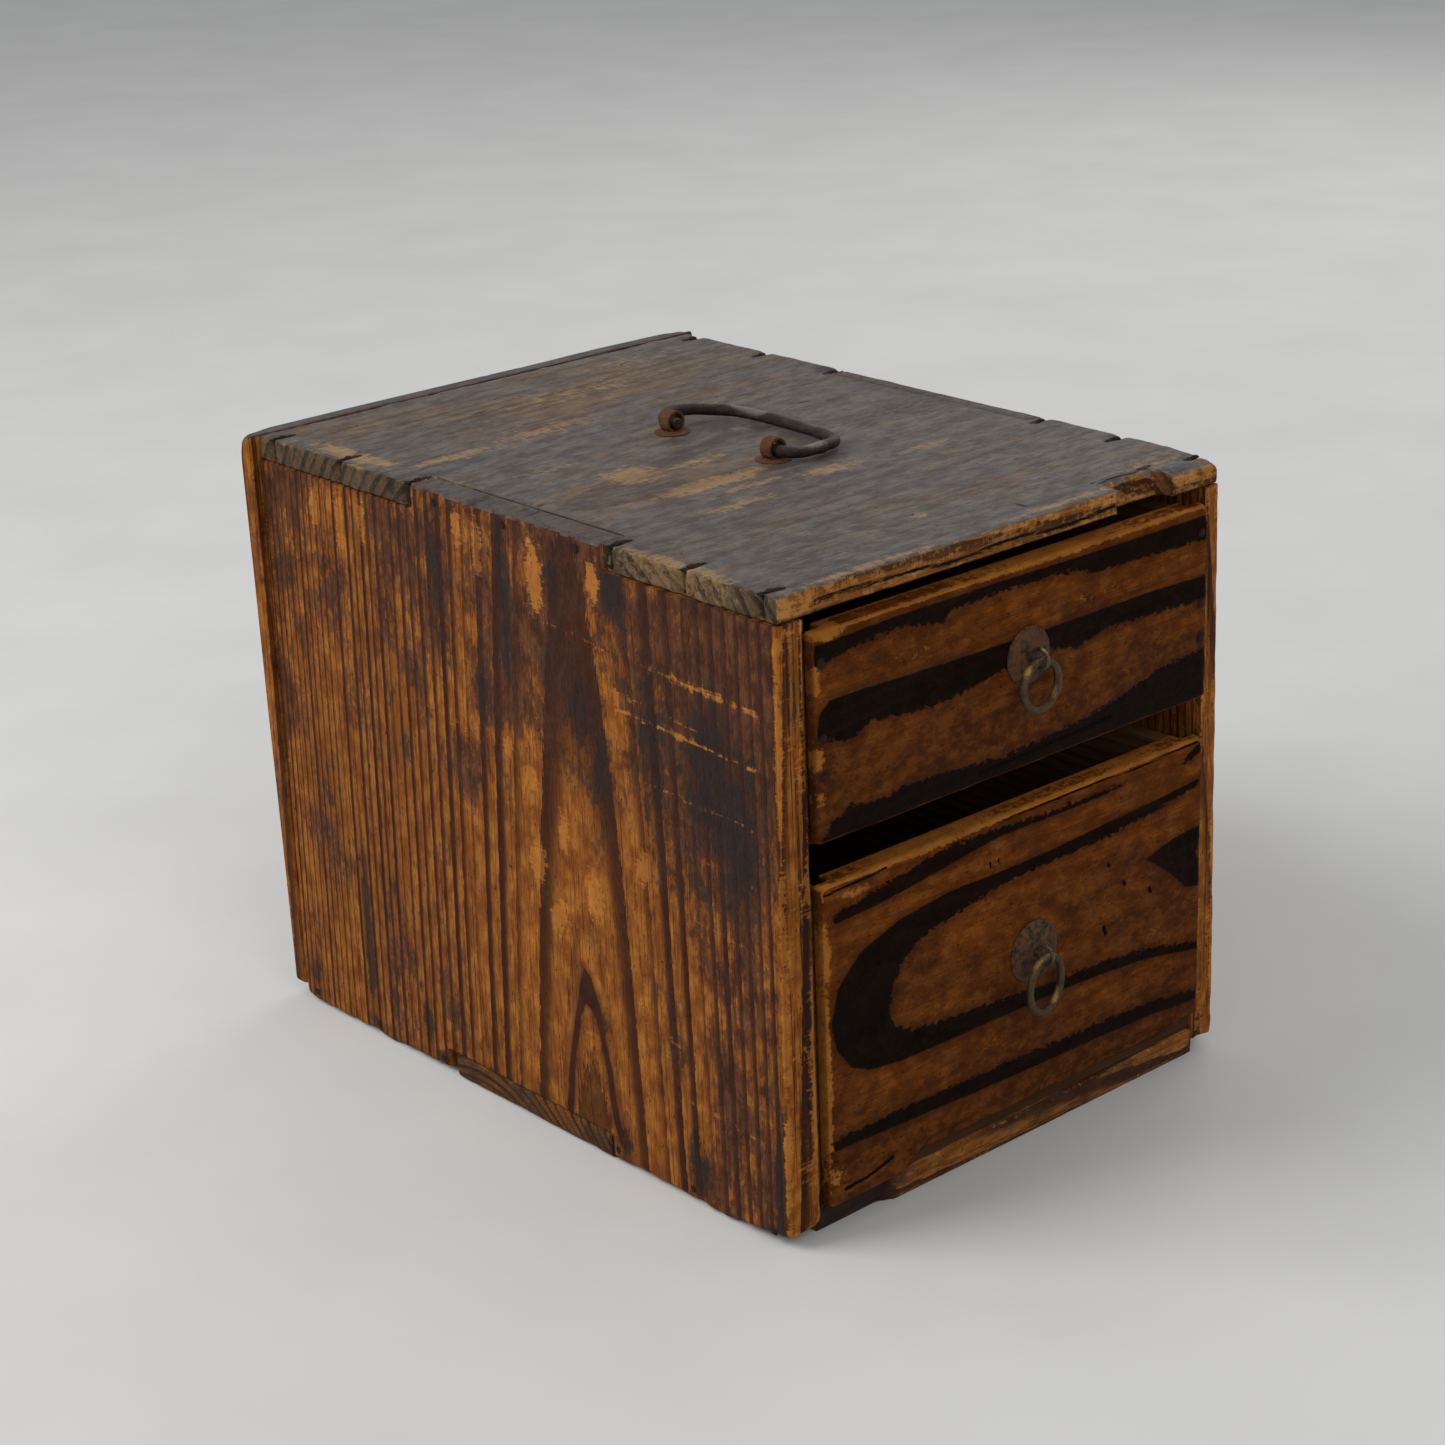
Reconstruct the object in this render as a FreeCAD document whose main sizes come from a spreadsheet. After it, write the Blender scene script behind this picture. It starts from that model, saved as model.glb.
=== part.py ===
import FreeCAD
import Part
import Sketcher
import math
import os

# Small two-drawer tansu chest with a folding bail handle on its top board.
#
# Millimetres. Origin: the middle of the case's footprint, on the surface it
# stands on. +X is to the right as one faces the drawers, +Y to the back, +Z up.
# The drawers pull out along -Y.

V = FreeCAD.Vector

# ---------------------------------------------------------------------------
# Driving sizes
# ---------------------------------------------------------------------------
SIZES = [
    # the case
    ("case_width", 208.0, "across the side boards, at the top"),
    ("case_depth", 290.0, "front edges of the sides to the back of the back panel"),
    ("case_height", 227.0, "floor to the face of the top board"),
    ("foot_flare", 3.5, "extra thickness of each side board at its foot"),
    ("left_thick", 11.5, "left side board, at the top"),
    ("right_thick", 8.0, "right side board, at the top"),
    ("top_thick", 9.0, "top board"),
    ("bottom_thick", 10.0, "bottom board"),
    ("back_thick", 8.0, "back panel"),
    ("back_lift", 5.0, "floor to the lower end of the back panel"),
    ("top_finger_from", 84.0, "front edge to the side boards' top finger"),
    ("top_finger_to", 187.5, "front edge to the back of that finger"),
    ("foot_finger_from", 92.0, "front edge to the bottom board's end finger"),
    ("foot_finger_to", 188.5, "front edge to the back of that finger"),
    ("shelf_thick", 9.0, "shelf between the drawers"),
    ("shelf_height", 132.5, "floor to the underside of the shelf"),
    ("shelf_setback", 20.0, "front edge of the case to the shelf's front edge"),
    ("housing_depth", 4.0, "groove in each side board that holds the shelf"),
    # the broken place in the top board's front edge
    ("chip_from", 156.0, "left end of the top board to the chip"),
    ("chip_length", 28.0, "length of the chip along the edge"),
    ("chip_depth", 7.5, "from the front edge back"),
    # both drawers
    ("front_thick", 10.0, "drawer front"),
    ("front_proud", 3.5, "how far a shut drawer front stands before the case"),
    ("front_round", 2.5, "worn rounding of the drawer fronts' face edges"),
    ("front_lift", 0.5, "drawer's running face to the front's lower edge"),
    ("headroom", 5.0, "drawer front's top edge to the board above it"),
    ("run_gap", 0.3, "running gap under a drawer"),
    ("upper_side_gap", 0.8, "upper drawer to each side board"),
    ("lower_side_gap", 1.2, "lower drawer to each side board"),
    ("rear_gap", 2.0, "shut drawer to the back panel"),
    ("wall_thick", 7.0, "drawer side and back boards"),
    ("floor_thick", 5.5, "drawer floor board"),
    ("wall_drop", 4.0, "front's top edge down to the sides' top edge"),
    ("rear_drop", 3.0, "sides' top edge down to the back's top edge"),
    ("end_rebate", 4.0, "depth of the rebates in the front's ends"),
    ("floor_rebate", 5.0, "depth of the rebate in the front's lower edge"),
    # the worn lower edge of the lower drawer front
    ("wear_from", 37.0, "front's left end to the start of the worn stretch"),
    ("wear_rise", 9.5, "height worn away at its middle"),
    ("wear_end_rise", 8.0, "height worn away at the right end"),
    # nails
    ("nail_head_radius", 1.6, "head of a nail"),
    ("nail_head_thick", 0.8, "head of a nail, let in flush"),
    ("nail_shank_radius", 1.0, "shank under the head"),
    ("nail_point_radius", 0.4, "shank at the point"),
    ("nail_length", 24.0, "case nails"),
    ("brad_length", 17.0, "drawer nails"),
    ("nail_inset", 8.0, "end nails to the board's end"),
    ("finger_inset", 3.0, "nails to the shoulder of a finger"),
    ("front_nail_top", 9.7, "upper drawer front's upper edge to its upper nail"),
    ("front_nail_pair", 12.5, "nail at the middle of that front to the nail below it"),
    # bail handle on the top
    ("eye_spacing", 54.5, "between the two eyes, along the depth"),
    ("eye_offset", 2.75, "middle of the handle before the middle of the case"),
    ("seat_radius", 6.8, "round washer under each eye"),
    ("seat_thick", 1.0, "washer at its middle"),
    ("eye_loop_radius", 3.6, "middle of an eye's rolled strip"),
    ("eye_sink", 1.2, "how far an eye's roll is driven into its washer and the board"),
    ("eye_wire_radius", 0.6, "half the thickness of an eye's strip"),
    ("eye_strip_width", 5.2, "rolled strip of an eye, along the axis of its roll"),
    ("eye_leg_width", 2.4, "leg of an eye, along the axis of its loop"),
    ("eye_leg_thick", 1.4, "leg of an eye, across"),
    ("eye_clench", 11.0, "length of a leg clenched under the top board"),
    ("bail_radius", 2.2, "rod of the bail"),
    ("bail_reach", 29.4, "pivot line to the middle of the grip"),
    ("bail_front_overhang", 9.8, "front eye to the middle of the bail's front arm"),
    ("bail_rear_overhang", 6.8, "rear eye to the middle of the bail's rear arm"),
    ("bail_rise", 1.9, "how far the rear arm rises out of the bail's plane"),
    ("bail_end", 1.0, "how far a pivot end stands out of its eye"),
    ("seat_gap", 0.3, "loose metal piece to what it lies on"),
    # ring pulls
    ("plate_thick", 1.0, "round back plate at its rim"),
    ("plate_dome", 0.8, "rise of the back plate's middle"),
    ("upper_plate_radius", 10.3, "upper back plate"),
    ("lower_plate_radius", 11.6, "lower back plate"),
    ("upper_pull_side", 2.0, "upper pull to the right of the drawer's middle"),
    ("lower_pull_side", 4.5, "lower pull to the right of the drawer's middle"),
    ("pull_rise", 4.15, "pulls above the middle of the drawer fronts"),
    ("pin_loop_radius", 3.3, "centre line of a pull's eye"),
    ("pin_wire_radius", 0.8, "wire of a pull's eye"),
    ("pin_leg_width", 1.8, "leg of a pull's eye, along the axis of its loop"),
    ("pin_leg_thick", 1.0, "leg of a pull's eye, across"),
    ("pin_clench", 8.0, "length of a leg clenched inside the drawer"),
    ("upper_ring_radius", 8.4, "centre line of the upper ring"),
    ("upper_ring_wire", 1.5, "radius of its wire"),
    ("lower_ring_radius", 10.0, "centre line of the lower ring"),
    ("lower_ring_wire", 1.4, "radius of its wire"),
    ("lower_ring_yaw", 11.0, "degrees the lower ring hangs turned in its eye"),
]

doc = FreeCAD.newDocument("tansu_chest")
sheet = doc.addObject("Spreadsheet::Sheet", "Sizes")
for row, (alias, value, note) in enumerate(SIZES, start=1):
    sheet.set(f"A{row}", alias)
    sheet.set(f"B{row}", str(value))
    sheet.set(f"C{row}", note)
    sheet.setAlias(f"B{row}", alias)
doc.recompute()


class Dim:
    """A length that carries its number and the sheet formula behind it."""

    def __init__(self, value, formula):
        self.value = float(value)
        self.formula = formula

    def __add__(self, other):
        other = as_dim(other)
        return Dim(self.value + other.value, f"({self.formula} + {other.formula})")

    def __sub__(self, other):
        other = as_dim(other)
        return Dim(self.value - other.value, f"({self.formula} - {other.formula})")

    def __mul__(self, other):
        other = as_dim(other)
        return Dim(self.value * other.value, f"({self.formula} * {other.formula})")

    def __truediv__(self, other):
        other = as_dim(other)
        return Dim(self.value / other.value, f"({self.formula} / {other.formula})")

    def __neg__(self):
        return Dim(-self.value, f"(0 - {self.formula})")

    def __radd__(self, other):
        return as_dim(other) + self

    def __rsub__(self, other):
        return as_dim(other) - self

    def __rmul__(self, other):
        return as_dim(other) * self

    def __float__(self):
        return self.value


def as_dim(number):
    return number if isinstance(number, Dim) else Dim(number, repr(float(number)))


def size(alias):
    return Dim(sheet.get(alias), f"Sizes.{alias}")


def bind(obj, prop, dim):
    obj.setExpression(prop, as_dim(dim).formula)


# ---------------------------------------------------------------------------
# Helpers for boards, nails and wire
# ---------------------------------------------------------------------------
def place(obj, x, y, z):
    """Puts an object's own origin at x, y, z."""
    for axis, dim in zip("xyz", (x, y, z)):
        bind(obj, f"Placement.Base.{axis}", dim)


def origin_plane(body, role):
    return next(f for f in body.Origin.OriginFeatures if f.Role == role)


def outline(body, name, plane, points):
    """A closed straight-sided sketch with every corner tied to the sheet."""
    sketch = body.newObject("Sketcher::SketchObject", name)
    sketch.AttachmentSupport = (origin_plane(body, plane), [""])
    sketch.MapMode = "FlatFace"
    points = [(as_dim(a), as_dim(b)) for a, b in points]
    count = len(points)
    for i, (a, b) in enumerate(points):
        c, d = points[(i + 1) % count]
        start = V(a.value, b.value, 0)
        end = V(c.value, d.value, 0)
        sketch.addGeometry(Part.LineSegment(start, end), False)
    for i in range(count):
        sketch.addConstraint(Sketcher.Constraint("Coincident", i, 2, (i + 1) % count, 1))
    for i, (a, b) in enumerate(points):
        for kind, tag, dim in (("DistanceX", "across", a), ("DistanceY", "along", b)):
            index = sketch.addConstraint(Sketcher.Constraint(kind, -1, 1, i, 1, dim.value))
            sketch.renameConstraint(index, f"{tag}_{i}")
            bind(sketch, f"Constraints.{tag}_{i}", dim)
    return sketch


def rectangle(a0, b0, a1, b1):
    return [(a0, b0), (a1, b0), (a1, b1), (a0, b1)]


def pad(body, name, sketch, length, reverse=False):
    feature = body.newObject("PartDesign::Pad", name)
    feature.Profile = sketch
    bind(feature, "Length", length)
    feature.Reversed = reverse
    sketch.Visibility = False
    return feature


def pocket(body, name, sketch, length=None, reverse=False):
    """A cut from the sketch's plane, or right through both ways."""
    feature = body.newObject("PartDesign::Pocket", name)
    feature.Profile = sketch
    if length is None:
        feature.Type = "ThroughAll"
        feature.Midplane = True
    else:
        bind(feature, "Length", length)
        feature.Reversed = reverse
    return feature


def new_body(label):
    body = doc.addObject("PartDesign::Body", label)
    body.Label = label
    return body


def board(label, corner, lengths):
    """A plain rectangular board, its own origin at its lower left front corner."""
    body = new_body(label)
    sketch = outline(body, label + "_face", "XY_Plane", rectangle(0, 0, lengths[0], lengths[1]))
    pad(body, label + "_pad", sketch, lengths[2])
    place(body, *corner)
    return body


def cut(label, base, *tools):
    """The base less each tool in turn. The last cut takes the node's name."""
    base.Label = label + "_blank"
    for i, tool in enumerate(tools):
        feature = doc.addObject("Part::Cut", f"{label}_cut_{i}")
        feature.Base = base
        feature.Tool = tool
        base = feature
    base.Label = label
    return base


def feature_of(label, shape):
    feature = doc.addObject("Part::Feature", label)
    feature.Label = label
    feature.Shape = shape
    return feature


def nail(head, direction, length):
    """One nail with its head let in flush at the point head."""
    way = V(*direction)
    point = V(*[float(c) for c in head])
    sink = float(size("nail_head_thick"))
    top = Part.makeCylinder(float(size("nail_head_radius")), sink, point, way)
    shank = Part.makeCone(float(size("nail_shank_radius")), float(size("nail_point_radius")),
                          float(length) - sink, point + way * sink, way)
    return top.fuse(shank)


def nails(label, rows, length):
    """A group of like nails, each a solid of its own."""
    solids = [nail(head, direction, length).Solids[0] for head, direction in rows]
    return feature_of(label, Part.makeCompound(solids))


def spread(first, last, count):
    """Even places from first to last, both ends included."""
    step = (last - first) / (count - 1)
    return [first + step * i for i in range(count)]


# ---------------------------------------------------------------------------
# Levels and faces that the pieces share
# ---------------------------------------------------------------------------
half_width = size("case_width") / 2
foot_half = half_width + size("foot_flare")
front = -(size("case_depth") / 2)
side_depth = size("case_depth") - size("back_thick")
rear = front + side_depth
top = size("case_height")
under_top = top - size("top_thick")
over_bottom = size("bottom_thick")
inner_left = -half_width + size("left_thick")
inner_right = half_width - size("right_thick")
inner_width = inner_right - inner_left
inner_middle = (inner_left + inner_right) / 2
shelf_under = size("shelf_height")
shelf_over = shelf_under + size("shelf_thick")
top_finger = (front + size("top_finger_from"), front + size("top_finger_to"))
foot_finger = (front + size("foot_finger_from"), front + size("foot_finger_to"))
left_nail_x = inner_left - size("left_thick") / 2
right_nail_x = inner_right + size("right_thick") / 2


# ---------------------------------------------------------------------------
# Case boards
# ---------------------------------------------------------------------------
def side_board(label, inner_face, thick, outward):
    """A side board, its own origin at the inner face, front edge and floor.

    It is a little thicker at the foot. Its top finger passes up through the
    top board, and its foot is notched for the bottom board's finger. The
    groove on its inner face holds the shelf.
    """
    foot = thick + size("foot_flare")
    body = new_body(label)
    profile = outline(body, label + "_profile", "XZ_Plane", [
        (0, 0),
        (outward * foot, 0),
        (outward * foot, over_bottom),
        (outward * thick, under_top),
        (outward * thick, top),
        (0, top),
    ])
    pad(body, label + "_pad", profile, side_depth, reverse=True)
    front_shoulder = outline(body, label + "_front_shoulder", "YZ_Plane",
                             rectangle(0, under_top, size("top_finger_from"), top))
    pocket(body, label + "_front_notch", front_shoulder)
    rear_shoulder = outline(body, label + "_rear_shoulder", "YZ_Plane",
                            rectangle(size("top_finger_to"), under_top, side_depth, top))
    pocket(body, label + "_rear_notch", rear_shoulder)
    foot_notch = outline(body, label + "_foot_outline", "YZ_Plane",
                         rectangle(size("foot_finger_from"), 0, size("foot_finger_to"), over_bottom))
    pocket(body, label + "_foot_notch", foot_notch)
    # the XZ plane faces the front, so a sketch moved along -Z of its own lies at the rear edge
    housing = outline(body, label + "_housing_outline", "XZ_Plane",
                      rectangle(outward * size("housing_depth"), shelf_under, 0, shelf_over))
    bind(housing, "AttachmentOffset.Base.z", -side_depth)
    pocket(body, label + "_housing", housing, side_depth - size("shelf_setback"), reverse=True)
    place(body, inner_face, front, 0)
    return body


left_side = side_board("left_side", inner_left, size("left_thick"), -1)
right_side = side_board("right_side", inner_right, size("right_thick"), 1)

# The top board: its middle is notched at each end for the side boards' fingers.
top_board = board("top_board", (-half_width, front, under_top),
                  (size("case_width"), side_depth, size("top_thick")))
left_notch = outline(top_board, "top_left_notch_outline", "XY_Plane",
                     rectangle(0, size("top_finger_from"), size("left_thick"), size("top_finger_to")))
pocket(top_board, "top_left_notch", left_notch)
right_notch = outline(top_board, "top_right_notch_outline", "XY_Plane",
                      rectangle(size("case_width") - size("right_thick"), size("top_finger_from"),
                                size("case_width"), size("top_finger_to")))
pocket(top_board, "top_right_notch", right_notch)

# The chip in the top board's front edge, broken right through its thickness.
chip_end = size("chip_from") + size("chip_length")
chip_outline = outline(top_board, "top_chip_outline", "XY_Plane", [
    (size("chip_from"), 0),
    (chip_end, 0),
    (chip_end - size("chip_length") * 0.2, size("chip_depth") * 0.8),
    (size("chip_from") + size("chip_length") * 0.35, size("chip_depth")),
    (size("chip_from") + size("chip_length") * 0.05, size("chip_depth") * 0.85),
])
pocket(top_board, "top_chip", chip_outline)

# The bottom board: a finger at each end passes right through the side board.
bottom_board = board("bottom_board", (inner_left, front, 0),
                     (inner_width, side_depth, over_bottom))
for name, near, far in (
    ("bottom_left_finger", -(size("left_thick") + size("foot_flare")), as_dim(0)),
    ("bottom_right_finger", inner_width, inner_width + size("right_thick") + size("foot_flare")),
):
    finger = outline(bottom_board, name + "_outline", "XY_Plane",
                     rectangle(near, size("foot_finger_from"), far, size("foot_finger_to")))
    pad(bottom_board, name, finger, over_bottom)

# The back panel is nailed over the back edges and follows the sides' flare.
back_panel = new_body("back_panel")
back_outline = outline(back_panel, "back_outline", "XZ_Plane", [
    (-foot_half, size("back_lift")),
    (foot_half, size("back_lift")),
    (foot_half, over_bottom),
    (half_width, under_top),
    (half_width, top),
    (-half_width, top),
    (-half_width, under_top),
    (-foot_half, over_bottom),
])
pad(back_panel, "back_pad", back_outline, size("back_thick"), reverse=True)
place(back_panel, 0, rear, 0)

# The shelf between the drawers sits in the side boards' grooves.
drawer_shelf = board("drawer_shelf",
                     (inner_left - size("housing_depth"), front + size("shelf_setback"), shelf_under),
                     (inner_width + size("housing_depth") * 2,
                      side_depth - size("shelf_setback"), size("shelf_thick")))

# ---------------------------------------------------------------------------
# Case nails
# ---------------------------------------------------------------------------
side_nail_places = (
    spread(front + size("nail_inset"), top_finger[0] - size("finger_inset"), 3)
    + spread(top_finger[1] + size("finger_inset"), rear - size("nail_inset"), 3)
)
top_nails = nails("top_nails", [
    ((x, y, top), (0, 0, -1)) for x in (left_nail_x, right_nail_x) for y in side_nail_places
], size("nail_length"))

finger_step = (top_finger[1] - top_finger[0]) / 8
finger_nails = nails("finger_nails", [
    ((x, y, top - size("top_thick") / 2), (way, 0, 0))
    for x, way in ((-half_width, 1), (half_width, -1))
    for y in spread(top_finger[0] + finger_step, top_finger[1] - finger_step, 3)
], size("nail_length"))

foot_nail_places = (
    spread(front + size("nail_inset"), foot_finger[0] - size("finger_inset"), 3)
    + spread(foot_finger[1] + size("finger_inset"), rear - size("nail_inset"), 3)
)
foot_nails = nails("foot_nails", [
    ((x, y, over_bottom / 2), (way, 0, 0))
    for x, way in ((-foot_half, 1), (foot_half, -1))
    for y in foot_nail_places
], size("nail_length"))

under_step = (foot_finger[1] - foot_finger[0]) / 4
under_nails = nails("under_nails", [
    ((x, y, 0), (0, 0, 1))
    for x in (left_nail_x, right_nail_x)
    for y in (foot_finger[0] + under_step, foot_finger[1] - under_step)
], size("nail_length"))

back = rear + size("back_thick")
# The back panel's upright rows leave the shelf's level clear.
back_nail_levels = (
    spread(over_bottom + size("nail_length"), shelf_under - size("nail_inset"), 2)
    + spread(shelf_over + size("nail_inset"), under_top - size("nail_length"), 2)
)
back_rows = [
    ((x, back, z), (0, -1, 0)) for x in (left_nail_x, right_nail_x) for z in back_nail_levels
]
back_rows += [
    ((x, back, z), (0, -1, 0))
    for z in (top - size("top_thick") / 2, (size("back_lift") + over_bottom) / 2)
    for x in spread(inner_left + size("nail_length"), inner_right - size("nail_length"), 3)
]
back_nails = nails("back_nails", back_rows, size("nail_length"))


# ---------------------------------------------------------------------------
# Split pins: a wire loop with two flat legs, clenched apart behind the board
# ---------------------------------------------------------------------------
def wire_loop(kind):
    """A round wire bent into a ring about Y."""
    return Part.makeTorus(float(size(kind + "_loop_radius")), float(size(kind + "_wire_radius")),
                          V(0, 0, 0), V(0, 1, 0))


def rolled_loop(kind):
    """A flat strip rolled into a short tube about Y."""
    radius = float(size(kind + "_loop_radius"))
    half_thick = float(size(kind + "_wire_radius"))
    width = float(size(kind + "_strip_width"))
    start = V(0, -width / 2, 0)
    roll = Part.makeCylinder(radius + half_thick, width, start, V(0, 1, 0))
    return roll.cut(Part.makeCylinder(radius - half_thick, width, start, V(0, 1, 0)))


def split_pin(kind, loop, through):
    """In its own frame: loop about Y, centre at the origin, legs down -Z.

    through is the depth from the loop's lowest point to the far face of what
    the legs pass through.
    """
    loop_radius = float(size(kind + "_loop_radius"))
    wire = float(size(kind + "_wire_radius"))
    width = float(size(kind + "_leg_width"))
    thick = float(size(kind + "_leg_thick"))
    clench = float(size(kind + "_clench"))
    low = -(loop_radius + wire)
    shape = loop
    neck = low + 2 * wire
    run = neck - low + float(through)
    far = low - float(through)
    for way in (-1, 1):
        near_x = 0 if way > 0 else -thick
        leg = Part.makeBox(thick, width, run, V(near_x, -width / 2, far))
        foot_x = 0 if way > 0 else -clench
        foot = Part.makeBox(clench, width, thick, V(foot_x, -width / 2, far - thick))
        shape = shape.fuse([leg, foot])
    return shape.removeSplitter()


def shaft_of(kind, deep):
    """The straight part of a split pin's legs, for the holes it passes."""
    width = float(size(kind + "_leg_width"))
    thick = float(size(kind + "_leg_thick"))
    start = -float(size(kind + "_loop_radius")) - float(size(kind + "_wire_radius"))
    return Part.makeBox(2 * thick, width, float(deep), V(-thick, -width / 2, start - float(deep)))


# ---------------------------------------------------------------------------
# Bail handle, its eyes and washers
# ---------------------------------------------------------------------------
eye_z = (top + size("seat_thick") + size("eye_loop_radius") + size("eye_wire_radius")
         - size("eye_sink"))
handle_middle = -size("eye_offset")
eye_places = {
    "front": handle_middle - size("eye_spacing") / 2,
    "rear": handle_middle + size("eye_spacing") / 2,
}

eye_through = size("seat_thick") + size("top_thick") - size("eye_sink")
handle_eyes = []
for end, y in eye_places.items():
    eye = feature_of(f"handle_eye_{end}", split_pin("eye", rolled_loop("eye"), eye_through))
    place(eye, 0, y, eye_z)
    handle_eyes.append(eye)
    seat = new_body(f"handle_seat_{end}")
    seat_profile = outline(seat, f"seat_profile_{end}", "XZ_Plane", [
        (0, 0),
        (size("seat_radius"), 0),
        (size("seat_radius") * 0.92, size("seat_thick") * 0.5),
        (size("seat_radius") * 0.6, size("seat_thick")),
        (0, size("seat_thick")),
    ])
    turn = seat.newObject("PartDesign::Revolution", f"seat_turn_{end}")
    turn.Profile = seat_profile
    turn.ReferenceAxis = (seat_profile, ["V_Axis"])
    turn.Angle = 360
    place(seat, 0, y, top)
    cut(f"handle_seat_{end}", seat, eye)


# The bow between the two arms: share of the reach, share of the arm's distance
# from the handle's middle (rear positive), share of the rise.
BOW = [
    (0.26, 1.0, 1.0), (0.40, 0.959, 0.95), (0.68, 0.856, 0.55), (0.90, 0.703, 0.2),
    (0.993, 0.42, 0.04), (1.0, 0.05, 0.0), (0.975, -0.31, 0.0), (0.952, -0.553, 0.0),
    (0.88, -0.785, 0.0), (0.64, -0.955, 0.0), (0.36, -1.0, 0.0),
]


def bail_shape():
    """The bail's rod: pivot line on Y, the grip's reach on X, its middle at 0."""
    reach = float(size("bail_reach"))
    rise = float(size("bail_rise"))
    eye = float(size("eye_spacing")) / 2
    half_strip = float(size("eye_strip_width")) / 2
    neck = eye + half_strip + float(size("seat_gap"))
    inner = eye - half_strip - float(size("bail_end"))
    arms = {1: eye + float(size("bail_rear_overhang")), -1: eye + float(size("bail_front_overhang"))}
    lean = {1: math.radians(25), -1: 0.0}
    turn = math.sqrt(0.5)
    edges = []
    arm_starts = {}
    for way, arm in arms.items():
        bend = arm - neck
        outward = V(math.cos(lean[way]), 0, math.sin(lean[way]))
        along = V(0, way, 0)
        start = along * inner
        bend_start = along * neck
        bend_middle = bend_start + outward * (bend - bend * turn) + along * (bend * turn)
        bend_end = bend_start + outward * bend + along * bend
        edges.append(Part.makeLine(start, bend_start))
        edges.append(Part.Arc(bend_start, bend_middle, bend_end).toShape())
        arm_starts[way] = (bend_end, outward)
    bow_points = [arm_starts[1][0]]
    for out, across, up in BOW:
        arm = arms[1] if across > 0 else arms[-1]
        bow_points.append(V(reach * out, arm * across, rise * up))
    bow_points.append(arm_starts[-1][0])
    bow = Part.BSplineCurve()
    bow.interpolate(Points=bow_points, InitialTangent=arm_starts[1][1],
                    FinalTangent=arm_starts[-1][1] * -1)
    edges += [arc.toShape() for arc in bow.toBiArcs(0.08)]
    path = Part.Wire(Part.__sortEdges__(edges))
    start = path.OrderedVertexes[0].Point
    ring = Part.Wire([Part.makeCircle(float(size("bail_radius")), start, V(0, 1, 0))])
    return path.makePipeShell([ring], True, True)


# The bail rests low in its eyes and lies folded to the right, its grip just
# clear of the top board.
pivot_z = eye_z - (size("eye_loop_radius") - size("eye_wire_radius")
                   - size("bail_radius") - size("seat_gap"))
bail_drop = pivot_z - top - size("bail_radius") - size("seat_gap")
bail_angle = math.degrees(math.asin(float(bail_drop) / float(size("bail_reach"))))
bail_handle = feature_of("bail_handle", bail_shape())
bail_handle.Placement = FreeCAD.Placement(
    V(0, float(handle_middle), float(pivot_z)), FreeCAD.Rotation(V(0, 1, 0), bail_angle))
print(f"bail: pivot z {float(pivot_z):.3f}, folded {bail_angle:.2f} degrees below level")


# ---------------------------------------------------------------------------
# Drawers
# ---------------------------------------------------------------------------
def back_plate(label, radius, x, y, z):
    """A slightly domed round plate, its flat back at y, facing -Y."""
    plate = new_body(label)
    profile = outline(plate, label + "_profile", "XY_Plane", [
        (0, 0),
        (0, -(size("plate_thick") + size("plate_dome"))),
        (radius * 0.45, -(size("plate_thick") + size("plate_dome") * 0.8)),
        (radius * 0.85, -(size("plate_thick") + size("plate_dome") * 0.2)),
        (radius, -(size("plate_thick") * 0.6)),
        (radius, 0),
    ])
    turn = plate.newObject("PartDesign::Revolution", label + "_turn")
    turn.Profile = profile
    turn.ReferenceAxis = (profile, ["V_Axis"])
    turn.Angle = 360
    hole = outline(plate, label + "_hole_outline", "XZ_Plane", rectangle(
        -(size("pin_leg_width") / 2), -size("pin_leg_thick"),
        size("pin_leg_width") / 2, size("pin_leg_thick")))
    pocket(plate, label + "_hole", hole)
    place(plate, x, y, z)
    return plate


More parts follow.
